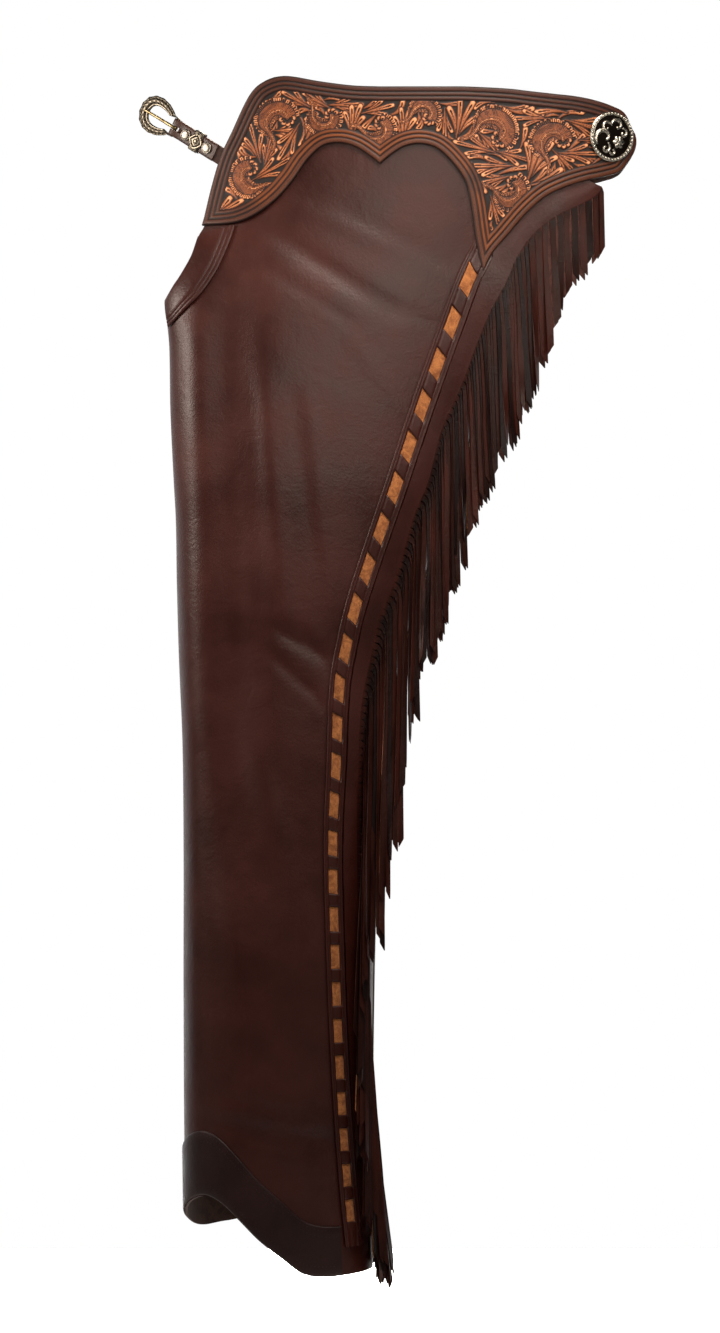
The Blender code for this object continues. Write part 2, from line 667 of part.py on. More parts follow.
def make_zip_slider(side_name, side):
    frame = slider_frame()
    body = box_mesh(frame, (-4.5, -7.0, 0.4), (4.5, 7.0, 3.2))
    outline = ((-ARCH_HALF - 1.2, 2.6), (-ARCH_HALF - 1.2, 5.4), (-ARCH_HALF + 0.6, 7.4),
               (ARCH_HALF - 0.6, 7.4), (ARCH_HALF + 1.2, 5.4), (ARCH_HALF + 1.2, 2.6))
    opening = ((-ARCH_HALF, 2.6), (-ARCH_HALF, 5.0), (-ARCH_HALF + 1.0, 6.2),
               (ARCH_HALF - 1.0, 6.2), (ARCH_HALF, 5.0), (ARCH_HALF, 2.6))
    rings = []
    for outside, inside in zip(outline, opening):
        rings.append([frame @ Vector((x, y, z)) for x, (y, z) in
                      ((-1.2, outside), (1.2, outside), (1.2, inside), (-1.2, inside))])
    joined_by_union(f"zip_slider_{side_name}", [body, prism_mesh(rings)], ZIP_METAL, side)


def make_zip_pull(side_name, side):
    """A tab whose window passes under the slider's arch; it turns about the crossbar."""
    frame = slider_frame()
    axis_height = 4.6
    half_bar = 0.6
    xs = (-4.2, -1.9, 1.9, 4.2)
    ys = (half_bar, -half_bar, -7.0, -26.0)
    grids = []
    for z in (axis_height + half_bar, axis_height - half_bar):
        grids.append([[frame @ Vector((x, y, z)) for y in ys] for x in xs])

    def keep(column, row):
        return not (column == 1 and row == 1)

    make_object(f"zip_pull_{side_name}", sheet_mesh(*grids, keep), ZIP_METAL, side)


# ---- front strap and buckle --------------------------------------------------------------------
BUCKLE_LENGTH = 42.0      # from the bar to the far rim
BUCKLE_WIDTH = 36.0
BUCKLE_THICK = 2.6
LOOP_INSIDE = BAR_RADIUS + 0.4
PRONG_HALF = 1.5
STRAP_HIDDEN = 22.0       # the part of the strap that lies behind the yoke


def strap_frame():
    """Origin on the buckle's bar, X from the yoke towards the buckle, Z outward."""
    angle = angle_of(*STRAP_EXIT)
    drop = STRAP_EXIT[1]
    normal = skin(angle, drop, 1.0) - skin(angle, drop)
    normal.z = 0.0
    normal.normalize()
    forward = Vector((normal.y, -normal.x, 0.0))
    forward.z = STRAP_RISE
    forward.normalize()
    origin = (skin(angle, drop, -PANEL_WALL - 0.4) - normal * (2 * STRAP_PLY + 0.6)
              + forward * STRAP_FREE)
    return local_frame(origin, forward, normal)


def make_buckle_strap():
    """One strap folded round the bar, with a slot at the fold for the prong."""
    frame = strap_frame()
    inside, outside = LOOP_INSIDE, LOOP_INSIDE + STRAP_PLY
    arcs = 5
    turn = [math.radians(90 - 180 * k / arcs) for k in range(arcs + 1)]
    tail = STRAP_FREE - 13.0
    # places along the strap: X, then the heights of its outer and inner faces
    path = [((-tail, 0.2 + STRAP_PLY), (-tail, 0.2)),
            ((-9.0, 0.2 + STRAP_PLY), (-9.0, 0.2)),
            ((-4.0, 0.5 + inside), (-4.0, 0.5 + inside - STRAP_PLY))]
    path += [((outside * math.cos(a), outside * math.sin(a)),
              (inside * math.cos(a), inside * math.sin(a))) for a in turn]
    path += [((-4.0, -0.5 - inside), (-4.0, STRAP_PLY - inside - 0.5)),
             ((-9.0, -0.2 - STRAP_PLY), (-9.0, -0.2)),
             ((-STRAP_FREE - STRAP_HIDDEN, -0.2 - STRAP_PLY), (-STRAP_FREE - STRAP_HIDDEN, -0.2))]
    slot = PRONG_HALF + 0.6
    ys = (-STRAP_WIDTH / 2, -slot, slot, STRAP_WIDTH / 2)
    outer = [[frame @ Vector((a[0], y, a[1])) for y in ys] for a, _ in path]
    inner = [[frame @ Vector((b[0], y, b[1])) for y in ys] for _, b in path]

    def keep(place, column):
        return column != 1 or not 1 <= place < len(path) - 3

    make_object("buckle_strap", sheet_mesh(outer, inner, keep), STRAP_LEATHER)


def make_buckle():
    """A closed rim: wide and domed far from the strap, and drawn down to a bar inside its fold."""
    frame = strap_frame()
    steps = 28
    rings = []
    for k in range(steps):
        a = 2 * math.pi * (k + 0.5) / steps
        far = (1 - math.cos(a)) / 2                # 0 at the bar, 1 at the far rim
        outer_x = BUCKLE_LENGTH * far
        outer_y = -BUCKLE_WIDTH / 2 * math.sin(a) * (0.82 + 0.30 * far)
        rings.append((a, far, outer_x, outer_y))
    bar_half = STRAP_WIDTH / 2 + 1.0
    loops = []
    bar = 3
    for a, far, x, y in rings[bar:-bar]:
        wide = 4.5 + 6.0 * far ** 1.5
        heading = Vector((x - BUCKLE_LENGTH * 0.52, y))
        inward = -heading.normalized() * wide
        height = BUCKLE_THICK * (0.75 + 0.35 * far)
        outer, inner = Vector((x, y)), Vector((x, y)) + inward
        mid = outer.lerp(inner, 0.5)
        loops.append([frame @ Vector((*outer, -height * 0.35)), frame @ Vector((*outer, height * 0.2)),
                      frame @ Vector((*mid, height * 0.65)), frame @ Vector((*inner, height * 0.2)),
                      frame @ Vector((*inner, -height * 0.35))])
    for y in (bar_half, -bar_half):
        ring = []
        for a in (200, 125, 55, -20, -90):
            ring.append(frame @ Vector((BAR_RADIUS * math.cos(math.radians(a)), y,
                                        BAR_RADIUS * math.sin(math.radians(a)))))
        loops.append(ring)
    make_object("buckle", prism_mesh(loops, closed=True), SILVER)


def make_prong():
    """A tongue whose root curls round the bar and whose tip rests on the far rim."""
    frame = strap_frame()
    thick = 1.1
    radius = BAR_RADIUS + 0.25 + thick / 2
    # centre line in X and Z with the direction of its outer face, then the half width
    spine = [((radius * math.cos(a), radius * math.sin(a)), (math.cos(a), math.sin(a)), PRONG_HALF)
             for a in (math.radians(d) for d in (-30, -75, -120, -165, 150, 105))]
    spine += [((3.0, radius + 0.1), (0.0, 1.0), 1.5), ((14.0, 2.9), (0.0, 1.0), 1.4),
              ((28.0, 3.7), (0.0, 1.0), 1.3), ((34.5, 3.9), (0.0, 1.0), 0.9)]
    rings = []
    for (x, z), (nx, nz), half in spine:
        rings.append([frame @ Vector((x + nx * h, y, z + nz * h)) for y, h in
                      ((-half, -thick / 2), (half, -thick / 2), (half * 0.75, thick / 2),
                       (-half * 0.75, thick / 2))])
    make_object("buckle_prong", prism_mesh(rings), PRONG_BRASS)


def disc_mesh(frame, x, y, low, high, radius, sides=16):
    rings = []
    for share, z in ((1.0, low), (1.0, high - 0.4), (0.86, high)):
        rings.append([frame @ Vector((x + radius * share * math.cos(2 * math.pi * k / sides),
                                      y + radius * share * math.sin(2 * math.pi * k / sides), z))
                      for k in range(sides)])
    return prism_mesh(rings)


SCREW_PLACES = (-15.0, -40.5)
KEEPER_PLACE = -27.8


def make_strap_fittings():
    frame = strap_frame()
    for number, x in enumerate(SCREW_PLACES, 1):
        make_object(f"strap_screw_{number}",
                    disc_mesh(frame, x, 0.0, STRAP_PLY + 0.5, STRAP_PLY + 2.0, 5.2), SILVER)
    half = STRAP_WIDTH / 2 + 0.5
    top, bottom = STRAP_PLY + 0.5, -STRAP_PLY - 0.5
    rings = []
    section = ((-5.5, 0.0), (5.5, 0.0), (4.6, 1.3), (-4.6, 1.3))
    for y, z, ny, nz in ((half, top, 0.7, 0.7), (-half, top, -0.7, 0.7),
                         (-half, bottom, -0.7, -0.7), (half, bottom, 0.7, -0.7)):
        rings.append([frame @ Vector((KEEPER_PLACE + x, y + ny * depth * 1.2,
                                      z + nz * depth * 1.2)) for x, depth in section])
    make_object("strap_keeper", prism_mesh(rings, closed=True), SILVER)


# ---- billet strap and back tie -----------------------------------------------------------------
BILLET_EXIT = (-160, 22)
BILLET_LENGTH = 200.0
BILLET_TURN = 84.0        # degrees that it has swung down from the line of the waist
BILLET_HOLES = 5
BILLET_HOLE = 4.2
BILLET_PITCH = 20.0


def make_billet():
    """Plain strap with holes that hangs from a screw inside the right yoke's front."""
    angle = angle_of(*BILLET_EXIT)
    base = skin(angle, BILLET_EXIT[1], -PANEL_WALL - 2 * CURVE_GAP)
    normal = skin(angle, BILLET_EXIT[1], 1.0) - skin(angle, BILLET_EXIT[1])
    normal.z = 0.0
    # X along the waist towards the front, Y down
    frame = local_frame(base, Vector((normal.y, -normal.x, 0.0)), normal)
    turn = math.radians(BILLET_TURN)
    first = BILLET_LENGTH * 0.42
    marks = [first + k * BILLET_PITCH + end for k in range(BILLET_HOLES) for end in (0.0, BILLET_HOLE)]
    marks = [-STRAP_WIDTH / 2, 0.0] + marks + [BILLET_LENGTH - 8.0, BILLET_LENGTH]
    rows = []
    for mark in marks:
        half = STRAP_WIDTH / 2 * (0.45 if mark in (marks[0], marks[-1]) else 1.0)
        rows.append([(math.cos(turn) * mark - math.sin(turn) * w, math.sin(turn) * mark + math.cos(turn) * w)
                     for w in (-half, -BILLET_HOLE / 2, BILLET_HOLE / 2, half)])
    outer = [[frame @ Vector((x, y, 0.0)) for x, y in row] for row in rows]
    inner = [[frame @ Vector((x, y, -2 * STRAP_PLY)) for x, y in row] for row in rows]

    def keep(place, column):
        past = place - 2
        return column != 1 or past < 0 or past >= 2 * BILLET_HOLES or past % 2 == 1

    make_object("billet_strap", sheet_mesh(outer, inner, keep), STRAP_LEATHER, -1.0)


TIE_LINE = ((148, -60.5), (158, -56), (168, -50), (176, -40), (181, -26), (184, -10), (184, 10),
            (181, 26), (176, 40), (168, 50), (158, 56), (148, 60.5))
TIE_TOP, TIE_BOTTOM = 8.0, -17.0
TIE_THICK = 2.4


def make_back_tie():
    """The strap that joins the two yokes behind the waist, inside the panels."""
    outer, inner = [], []
    for k, (x, y) in enumerate(TIE_LINE):
        before, after = TIE_LINE[max(k - 1, 0)], TIE_LINE[min(k + 1, len(TIE_LINE) - 1)]
        run = Vector((after[0] - before[0], after[1] - before[1])).normalized()
        for face, shift in ((outer, 0.0), (inner, -TIE_THICK)):
            face.append([Vector((x + run.y * shift, y - run.x * shift, z))
                         for z in (TIE_BOTTOM, TIE_TOP)])
    make_object("back_tie", sheet_mesh(outer, inner), STRAP_LEATHER)


def build():
    for obj in list(bpy.data.objects):
        bpy.data.objects.remove(obj, do_unlink=True)
    for side_name, side in SIDES.items():
        make_leg_panel(side_name, side)
        make_yoke(side_name, side)
        make_thigh_edge(side_name, side)
        make_hem_band(side_name, side)
        make_lace_band(side_name, side)
        make_fringes(side_name, side)
        make_concho(side_name, side)
        make_zip(side_name, side)
        make_zip_slider(side_name, side)
        make_zip_pull(side_name, side)
    make_buckle_strap()
    make_buckle()
    make_prong()
    make_strap_fittings()
    make_billet()
    make_back_tie()


build()
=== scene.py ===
from math import atan2, cos, degrees, pi, radians, sin, sqrt

import bpy
import numpy as np
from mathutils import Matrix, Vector, geometry


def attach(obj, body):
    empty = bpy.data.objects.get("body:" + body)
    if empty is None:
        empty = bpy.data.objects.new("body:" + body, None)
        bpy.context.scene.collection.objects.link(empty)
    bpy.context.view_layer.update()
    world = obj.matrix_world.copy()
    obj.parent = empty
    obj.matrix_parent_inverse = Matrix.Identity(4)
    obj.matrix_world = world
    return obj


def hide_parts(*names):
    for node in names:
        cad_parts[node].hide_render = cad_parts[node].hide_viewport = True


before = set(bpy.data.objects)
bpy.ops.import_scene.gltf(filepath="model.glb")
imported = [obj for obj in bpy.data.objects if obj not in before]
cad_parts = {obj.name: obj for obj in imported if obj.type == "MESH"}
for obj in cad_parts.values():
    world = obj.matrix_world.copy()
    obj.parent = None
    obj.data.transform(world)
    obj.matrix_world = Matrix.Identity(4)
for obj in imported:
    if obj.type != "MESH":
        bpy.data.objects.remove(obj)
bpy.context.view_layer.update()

mm = 0.001
sides = {"left": 1.0, "right": -1.0}      # factor on Y, the right leg is the left one mirrored
print("frame loaded")


# smooth tables and lines, the same ones that the solids are made with
def smoothTable(keys, values, at):
    keys = np.asarray(keys, float)
    values = np.asarray(values, float)
    at = np.clip(np.asarray(at, float), keys[0], keys[-1])
    place = np.clip(np.searchsorted(keys, at, side="right") - 1, 0, len(keys) - 2)
    k = np.arange(len(keys))
    below = np.maximum(k - 1, 0)
    above = np.minimum(k + 1, len(keys) - 1)
    slope = (values[above] - values[below]) / (keys[above] - keys[below])
    span = keys[place + 1] - keys[place]
    t = (at - keys[place]) / span
    return ((1 + 2 * t) * (1 - t) ** 2 * values[place] + t * t * (3 - 2 * t) * values[place + 1]
            + span * (t * (1 - t) ** 2 * slope[place] - t * t * (1 - t) * slope[place + 1]))


def smoothPairs(pairs, at):
    return smoothTable([p[0] for p in pairs], [p[1] for p in pairs], at)


def lineLengths(points):
    points = np.asarray(points, float)
    steps = np.linalg.norm(np.diff(points, axis=0), axis=1)
    return np.concatenate([[0.0], np.cumsum(steps)])


def alongLine(points, shares):
    lengths = lineLengths(points)
    at = np.asarray(shares, float) * lengths[-1]
    points = np.asarray(points, float)
    return np.stack([smoothTable(lengths, points[:, k], at) for k in range(2)], axis=-1)


def xOnLine(line, drop):
    return smoothTable([p[1] for p in line], [p[0] for p in line], drop)


# the leg's outer skin in millimetres; angle 0 is the back, 90 the outside, 180 the front
leg = {
    # drop, front x, back x, centre y, half depth, fullness of the corners
    "sections": (
        (-50, -216, 212, 0, 88, 0.00), (9, -214, 212, 0, 90, 0.00), (41, -213, 205, -8, 85, 0.00),
        (86, -212, 162, -28, 71, 0.02), (113, -222, 135, -42, 61, 0.06), (151, -229, 104, -60, 50, 0.12),
        (195, -226, 80, -65, 50, 0.18), (251, -225, 54, -68, 53, 0.22), (315, -222, 34, -71, 55, 0.25),
        (352, -220, 21, -71, 56, 0.25), (413, -219, 1, -72, 56, 0.25), (481, -217, -18, -72, 56, 0.25),
        (553, -214, -30, -73, 57, 0.25), (648, -213, -38, -74, 58, 0.25), (783, -213, -42, -75, 59, 0.25),
        (945, -212, -43, -75, 61, 0.25), (1044, -210, -41, -75, 62, 0.25)),
    # large folds: outer side, x0, drop0, x1, drop1, reach, depth
    "folds": (
        (True, -172, 190, -168, 570, 26, 8.0), (True, -137, 88, -30, 162, 9, 1.8),
        (True, -118, 455, -92, 470, 7, 2.2), (True, -198, 890, -90, 908, 9, 1.8),
        (False, -150, 220, -120, 560, 18, 3.4), (False, -40, 430, -110, 505, 10, 2.6),
        (False, -180, 870, -70, 890, 10, 2.0)),
    # finer creases of worn hide, in the same columns; a depth below 0 is a raised roll
    "creases": (
        (True, -206, 190, -208, 540, 14, -3.6), (True, -140, 235, -120, 430, 9, -1.3),
        (True, -96, 270, -78, 420, 8, -1.0), (True, -150, 250, -142, 470, 7, 0.9),
        (True, -112, 250, -96, 380, 6, 0.8), (True, -110, 70, -40, 100, 6, -0.8),
        (True, -150, 118, -70, 168, 5, 1.0), (True, -92, 120, 10, 175, 6, 0.9),
        (True, -60, 75, 20, 118, 7, 0.8), (True, -52, 200, -8, 262, 6, -0.8),
        (True, -128, 478, -104, 500, 5, 1.2), (True, -104, 452, -84, 486, 4, 1.0),
        (True, -98, 505, -86, 520, 4, 0.8), (True, -150, 560, -108, 690, 12, -1.5),
        (True, -190, 620, -182, 800, 9, 0.9), (True, -120, 600, -104, 760, 9, 0.9),
        (True, -168, 720, -150, 880, 10, -1.0), (True, -204, 640, -206, 860, 7, -0.9),
        (True, -180, 868, -120, 884, 5, 0.8), (True, -150, 906, -92, 922, 5, 0.9),
        (False, -190, 260, -198, 520, 10, -1.2), (False, -110, 250, -90, 420, 9, 1.0),
        (False, -60, 260, -70, 400, 9, -1.1), (False, -160, 600, -140, 800, 11, -1.4),
        (False, -110, 560, -96, 740, 9, 1.0), (False, -130, 470, -80, 492, 5, 1.1),
        (False, -90, 440, -60, 452, 5, 0.9), (False, -170, 905, -100, 922, 5, 0.8)),
    "foldEnd": 15.0,
    "wall": 2.0,
}
sectionKeys = [s[0] for s in leg["sections"]]


def sectionAt(drop):
    front, back, mid, half, full = (smoothTable(sectionKeys, [s[k] for s in leg["sections"]], drop)
                                    for k in range(1, 6))
    return (front + back) / 2, (back - front) / 2, mid, half, full


def foldDepth(x, drop, outer):
    # how far the hide lies inside the smooth leg, from every fold on this side of it
    depth = np.zeros(np.broadcast(x, drop).shape)
    for onOuter, x0, drop0, x1, drop1, reach, deep in leg["folds"] + leg["creases"]:
        run = np.array((x1 - x0, drop1 - drop0), float)
        long = np.linalg.norm(run)
        t = ((x - x0) * run[0] + (drop - drop0) * run[1]) / long
        past = np.maximum(0.0, np.maximum(-t, t - long))
        aside = ((x - x0) * run[1] - (drop - drop0) * run[0]) / long
        sharpFold = abs(deep) > 1.7 and reach < 20
        end = leg["foldEnd"] if sharpFold else 3.0 * reach
        here = deep * np.exp(-(aside / reach) ** 2 - (past / end) ** 2)
        depth += np.where(outer == onOuter, here, 0.0)
    return depth


def surfaceAt(angle, drop):
    angle, drop = np.broadcast_arrays(np.asarray(angle, float), np.asarray(drop, float))
    centre, reach, mid, half, full = sectionAt(drop)
    a = np.radians(angle)
    x = centre + reach * np.cos(a)
    bulge = np.sin(a) * (1 + full * np.cos(a) ** 2)
    inward = foldDepth(x, drop, np.sin(a) > 0) * np.sin(a)
    return np.stack([x, mid - half * bulge + inward, -drop], axis=-1)


def normalAt(angle, drop):
    step = 0.5
    angle, drop = np.broadcast_arrays(np.asarray(angle, float), np.asarray(drop, float))
    roundLeg = surfaceAt(angle + step, drop) - surfaceAt(angle - step, drop)
    downLeg = surfaceAt(angle, drop + step) - surfaceAt(angle, drop - step)
    normal = np.cross(roundLeg, downLeg)
    return normal / np.linalg.norm(normal, axis=-1, keepdims=True)


def skin(angle, drop, lift=0.0):
    lift = np.asarray(lift, float)
    return surfaceAt(angle, drop) + normalAt(angle, drop) * lift[..., None]


def angleOf(x, drop):
    centre, reach, *_ = sectionAt(drop)
    return np.degrees(np.arccos(np.clip((np.asarray(x, float) - centre) / reach, -1.0, 1.0)))


def skinAt(x, drop, lift=0.0):
    return skin(angleOf(x, drop), drop, lift)


# outlines seen from the side, x and drop
outline = {
    "front": (
        (-229, 151), (-222, 139), (-216, 130), (-206, 112), (-200, 95), (-194, 84), (-190, 66), (-184, 49),
        (-176, 22), (-164, -4), (-151, -30), (-143, -40)),
    "rear": (
        (78, 184), (74, 160), (72, 144), (75, 119), (88, 90), (106, 71), (128, 55), (158, 43), (175, 35),
        (184, 24), (188, 9), (187, -5), (182, -17)),
    "waist": (
        (-151, -33), (-144, -42), (-135, -47), (-126, -49), (-108, -47), (-90, -44), (-54, -40), (0, -39),
        (54, -39), (90, -36), (126, -33), (153, -29), (171, -24), (184, -18)),
    "thighSeam": ((-225, 177), (-211, 162), (-196, 147), (-183, 128), (-175, 111), (-169, 96), (-166, 86)),
    # drop of the hem against the angle round the leg
    "hem": (
        (0, 1022), (35, 1027), (62, 1030), (76, 1027), (88, 1014), (102, 998), (116, 978), (128, 964),
        (140, 958), (155, 961), (170, 968), (190, 979), (212, 987), (235, 984), (255, 982), (280, 1000),
        (310, 1018), (360, 1022)),
    "innerTop": ((180, 151), (215, 158), (270, 172), (320, 184), (360, 184)),
    "band": (
        (63, 96), (53, 115), (43, 135), (30, 170), (3, 245), (-22, 320), (-47, 393), (-59, 431), (-67, 466),
        (-73, 502), (-76, 570), (-79, 642), (-77, 743), (-73, 845), (-67, 940), (-61, 1005)),
    "bandHalf": ((118, 11.0), (420, 9.5), (640, 8.0), (1005, 7.0)),
    "root": (
        (162, 50), (157, 58), (143, 66), (124, 75), (103, 91), (87, 112), (77, 135), (61, 165), (49, 194),
        (37, 226), (17, 272), (6, 315), (-8, 350), (-27, 413), (-39, 440), (-47, 480), (-53, 507),
        (-57, 553), (-59, 640), (-58, 743), (-56, 845), (-53, 900), (-49, 950), (-46, 995)),
}
zipAngle = 8.0


# ---- materials
def linear(hexColour):
    channels = [int(hexColour[k:k + 2], 16) / 255 for k in (1, 3, 5)]
    return tuple(c / 12.92 if c <= 0.04045 else ((c + 0.055) / 1.055) ** 2.4 for c in channels) + (1.0,)


def addNode(tree, kind, settings=None, links=None):
    node = tree.nodes.new(kind)
    for key, value in (settings or {}).items():
        if key == "stops":
            ramp = node.color_ramp.elements
            while len(ramp) < len(value):
                ramp.new(0.5)
            for element, (place, colour) in zip(ramp, value):
                element.position = place
                element.color = linear(colour)
        elif isinstance(key, str) and hasattr(node, key):
            setattr(node, key, value)
        else:
            node.inputs[key].default_value = value
    for key, source in (links or {}).items():
        tree.links.new(source, node.inputs[key])
    return node


def newMaterial(name):
    material = bpy.data.materials.new(name)
    material.use_nodes = True
    return material, material.node_tree, material.node_tree.nodes["Principled BSDF"]


def objectPlace(tree):
    return addNode(tree, "ShaderNodeTexCoord").outputs["Object"]


def linkShader(tree, shader, **sockets):
    names = {"colour": "Base Color", "gloss": "Roughness", "normal": "Normal"}
    for key, source in sockets.items():
        tree.links.new(source, shader.inputs[names[key]])


def noise(tree, place, spotMm, detail, **settings):
    return addNode(tree, "ShaderNodeTexNoise", {"Scale": 1000 / spotMm, "Detail": detail, **settings},
                   {"Vector": place}).outputs["Fac"]


def attribute(tree, name):
    return addNode(tree, "ShaderNodeAttribute", {"attribute_name": name}).outputs["Fac"]


def dyed(tree, share, *stops):
    return addNode(tree, "ShaderNodeValToRGB", {"stops": stops}, {"Fac": share}).outputs["Color"]


def ranged(tree, value, low, high, start=0.0, end=1.0):
    limits = {"From Min": start, "From Max": end, "To Min": low, "To Max": high}
    return addNode(tree, "ShaderNodeMapRange", limits, {"Value": value}).outputs["Result"]


def blended(tree, share, first, second):
    # either colour is a fixed one or comes from another node
    both = {"Color1": first, "Color2": second}
    fixed = {key: value for key, value in both.items() if isinstance(value, tuple)}
    drawn = {key: value for key, value in both.items() if key not in fixed}
    return addNode(tree, "ShaderNodeMixRGB", fixed, {"Fac": share, **drawn}).outputs["Color"]


def maths(tree, operation, *values):
    fixed = {k: value for k, value in enumerate(values) if isinstance(value, float)}
    drawn = {k: value for k, value in enumerate(values) if k not in fixed}
    return addNode(tree, "ShaderNodeMath", {"operation": operation, **fixed}, drawn).outputs[0]


def bump(tree, height, strength, deep, under=None):
    links = {"Height": height} if under is None else {"Height": height, "Normal": under}
    return addNode(tree, "ShaderNodeBump", {"Strength": strength, "Distance": deep}, links).outputs["Normal"]


def leather(name, look):
    # drum-dyed hide: mottled dye, pebbled grain over softer wrinkles, and the low gloss of wax
    material, tree, shader = newMaterial(name)
    place = objectPlace(tree)
    stretch = {"Scale": look.get("stretch", (1.0, 1.0, 1.0))}
    drawn = addNode(tree, "ShaderNodeMapping", stretch, {"Vector": place})
    cloud = noise(tree, drawn.outputs["Vector"], look["cloudMm"], 5.0, Roughness=0.55)
    pebble = addNode(tree, "ShaderNodeTexVoronoi", {"Scale": 1000 / look["grainMm"], "feature": "SMOOTH_F1",
                                                    "Smoothness": 0.6}, {"Vector": place})
    pore = noise(tree, place, look["poreMm"], 3.0)
    grain = maths(tree, "MULTIPLY_ADD", pore, 0.6, pebble.outputs["Distance"])
    soft = bump(tree, noise(tree, place, look["wrinkleMm"], 4.0, Distortion=1.2), look["wrinkle"], 0.0012)
    colour = dyed(tree, cloud, (0.30, look["dark"]), (0.72, look["light"]))
    if "shaded" in look:
        # painted shade: each strand is mixed towards a near-black by its tone, some strands dark as if lying in
        # shadow behind others, and darkest where a cut begins, standing in for the shade in the slits
        colour = blended(tree, attribute(tree, "tone"), linear(look["shaded"]), colour)
        shader.inputs["Specular IOR Level"].default_value = 0.26
    linkShader(tree, shader, colour=colour, normal=bump(tree, grain, look["grain"], 0.0004, soft),
               gloss=ranged(tree, cloud, look["rough"] - 0.06, look["rough"] + 0.08, 0.3, 0.7))
    shader.inputs["IOR"].default_value = 1.45
    return material


def tooledHide(name, look):
    # vegetable-tanned hide, cut and stamped, with dye left in the cuts and a waxed resist on the raised leaves
    material, tree, shader = newMaterial(name)
    place = objectPlace(tree)
    tone, dye = attribute(tree, "tone"), attribute(tree, "dye")
    blotch = maths(tree, "MULTIPLY_ADD", noise(tree, place, look["blotchMm"], 4.0), look["blotch"], tone)
    share = maths(tree, "SUBTRACT", blotch, look["blotch"] / 2)
    dark, rust, tan = (dyed(tree, share, *look[key]) for key in ("darkDye", "rustDye", "tanDye"))
    border = blended(tree, ranged(tree, dye, 0.0, 1.0, 0.0, 0.5), dark, rust)
    linkShader(tree, shader, colour=blended(tree, ranged(tree, dye, 0.0, 1.0, 0.55, 0.95), border, tan),
               normal=bump(tree, noise(tree, place, look["poreMm"], 2.0), 0.25, 0.0002),
               gloss=ranged(tree, tone, look["rough"] + 0.12, look["rough"]))
    shader.inputs["IOR"].default_value = 1.5
    return material


def suede(name, look):
    # split hide with a brushed nap: no gloss, a pale sheen at grazing angles, streaks where the nap was stroked
    material, tree, shader = newMaterial(name)
    place = objectPlace(tree)
    stroked = noise(tree, place, look["strokeMm"], 4.0, Distortion=0.8)
    nap = maths(tree, "MULTIPLY_ADD", noise(tree, place, look["napMm"], 2.0), 0.5, stroked)
    linkShader(tree, shader, colour=dyed(tree, nap, (0.55, look["dark"]), (0.95, look["light"])),
               normal=bump(tree, nap, 0.6, 0.0004))
    for key, value in (("Roughness", 0.9), ("Sheen Weight", 0.25), ("Sheen Roughness", 0.5)):
        shader.inputs[key].default_value = value
    return material


def metal(name, look, blackened=False):
    # cast and plated fittings; liver-of-sulphur black stays in the cuts of a blackened one
    material, tree, shader = newMaterial(name)
    place = objectPlace(tree)
    spots = noise(tree, place, look["spotMm"], 4.0)
    colour = dyed(tree, spots, (0.35, look["dark"]), (0.6, look["light"]))
    gloss = ranged(tree, spots, look["rough"] - 0.08, look["rough"] + 0.12)
    if blackened:
        tone = attribute(tree, "tone")
        colour, gloss = blended(tree, tone, linear("#1A1512"), colour), ranged(tree, tone, 0.55, 0.26)
    linkShader(tree, shader, colour=colour, gloss=gloss)
    shader.inputs["Metallic"].default_value = 1.0
    return material


def plain(name, colour, rough):
    material, tree, shader = newMaterial(name)
    shader.inputs["Base Color"].default_value = linear(colour)
    shader.inputs["Roughness"].default_value = rough
    return material, tree, shader


chapLeather = leather("waxed_grain_leather", {
    "dark": "#30100A", "light": "#431810", "cloudMm": 60, "grainMm": 2.2, "poreMm": 0.9, "wrinkleMm": 16,
    "grain": 0.22, "wrinkle": 0.30, "rough": 0.42})
hemLeather = leather("waxed_hem_leather", {
    "dark": "#1D0503", "light": "#290906", "cloudMm": 40, "grainMm": 2.0, "poreMm": 0.9, "wrinkleMm": 14,
    "grain": 0.2, "wrinkle": 0.25, "rough": 0.46})
# the near-black shaded colour of the fringe is painted shade, mixed into the strands by their tone attribute
fringeLeather = leather("fringe_leather_and_painted_shade", {
    "dark": "#240D07", "light": "#431A11", "shaded": "#080302", "cloudMm": 6, "stretch": (1.0, 1.0, 0.05),
    "grainMm": 1.8, "poreMm": 0.8, "wrinkleMm": 7, "grain": 0.2, "wrinkle": 0.35, "rough": 0.44})
tooledLeather = tooledHide("tooled_skirting_hide", {
    "darkDye": ((0.0, "#0C0402"), (0.5, "#260E06"), (1.0, "#4E2211")),
    "rustDye": ((0.0, "#100402"), (0.5, "#4C2008"), (1.0, "#8C480F")),
    "tanDye": ((0.0, "#0C0402"), (0.22, "#1E0A04"), (0.5, "#4C210C"), (0.8, "#9C562B"), (1.0, "#F2A974")),
    "blotchMm": 14, "blotch": 0.22, "poreMm": 0.8, "rough": 0.5})
strapLeather = leather("strap_leather", {
    "dark": "#33201A", "light": "#4A2E24", "cloudMm": 12, "grainMm": 1.6, "poreMm": 0.7, "wrinkleMm": 8,
    "grain": 0.15, "wrinkle": 0.2, "rough": 0.4})
fringeFlesh = suede("fringe_flesh_side", {"dark": "#43241E", "light": "#6E443B", "strokeMm": 8, "napMm": 1.4})
fleshSide = suede("flesh_side_split", {"dark": "#2C1812", "light": "#4A2E24", "strokeMm": 10, "napMm": 1.4})
rustSuede = suede("rust_suede", {"dark": "#8A4E26", "light": "#C98147", "strokeMm": 5, "napMm": 1.1})
zipCloth = suede("woven_zip_tape", {"dark": "#14100E", "light": "#241C19", "strokeMm": 3, "napMm": 0.8})
silver = metal("plated_nickel_silver", {"dark": "#625E56", "light": "#98938A", "spotMm": 3.0, "rough": 0.30})
brass = metal("brass_prong_wire", {"dark": "#7E6E4A", "light": "#B3A27A", "spotMm": 4.0, "rough": 0.3})
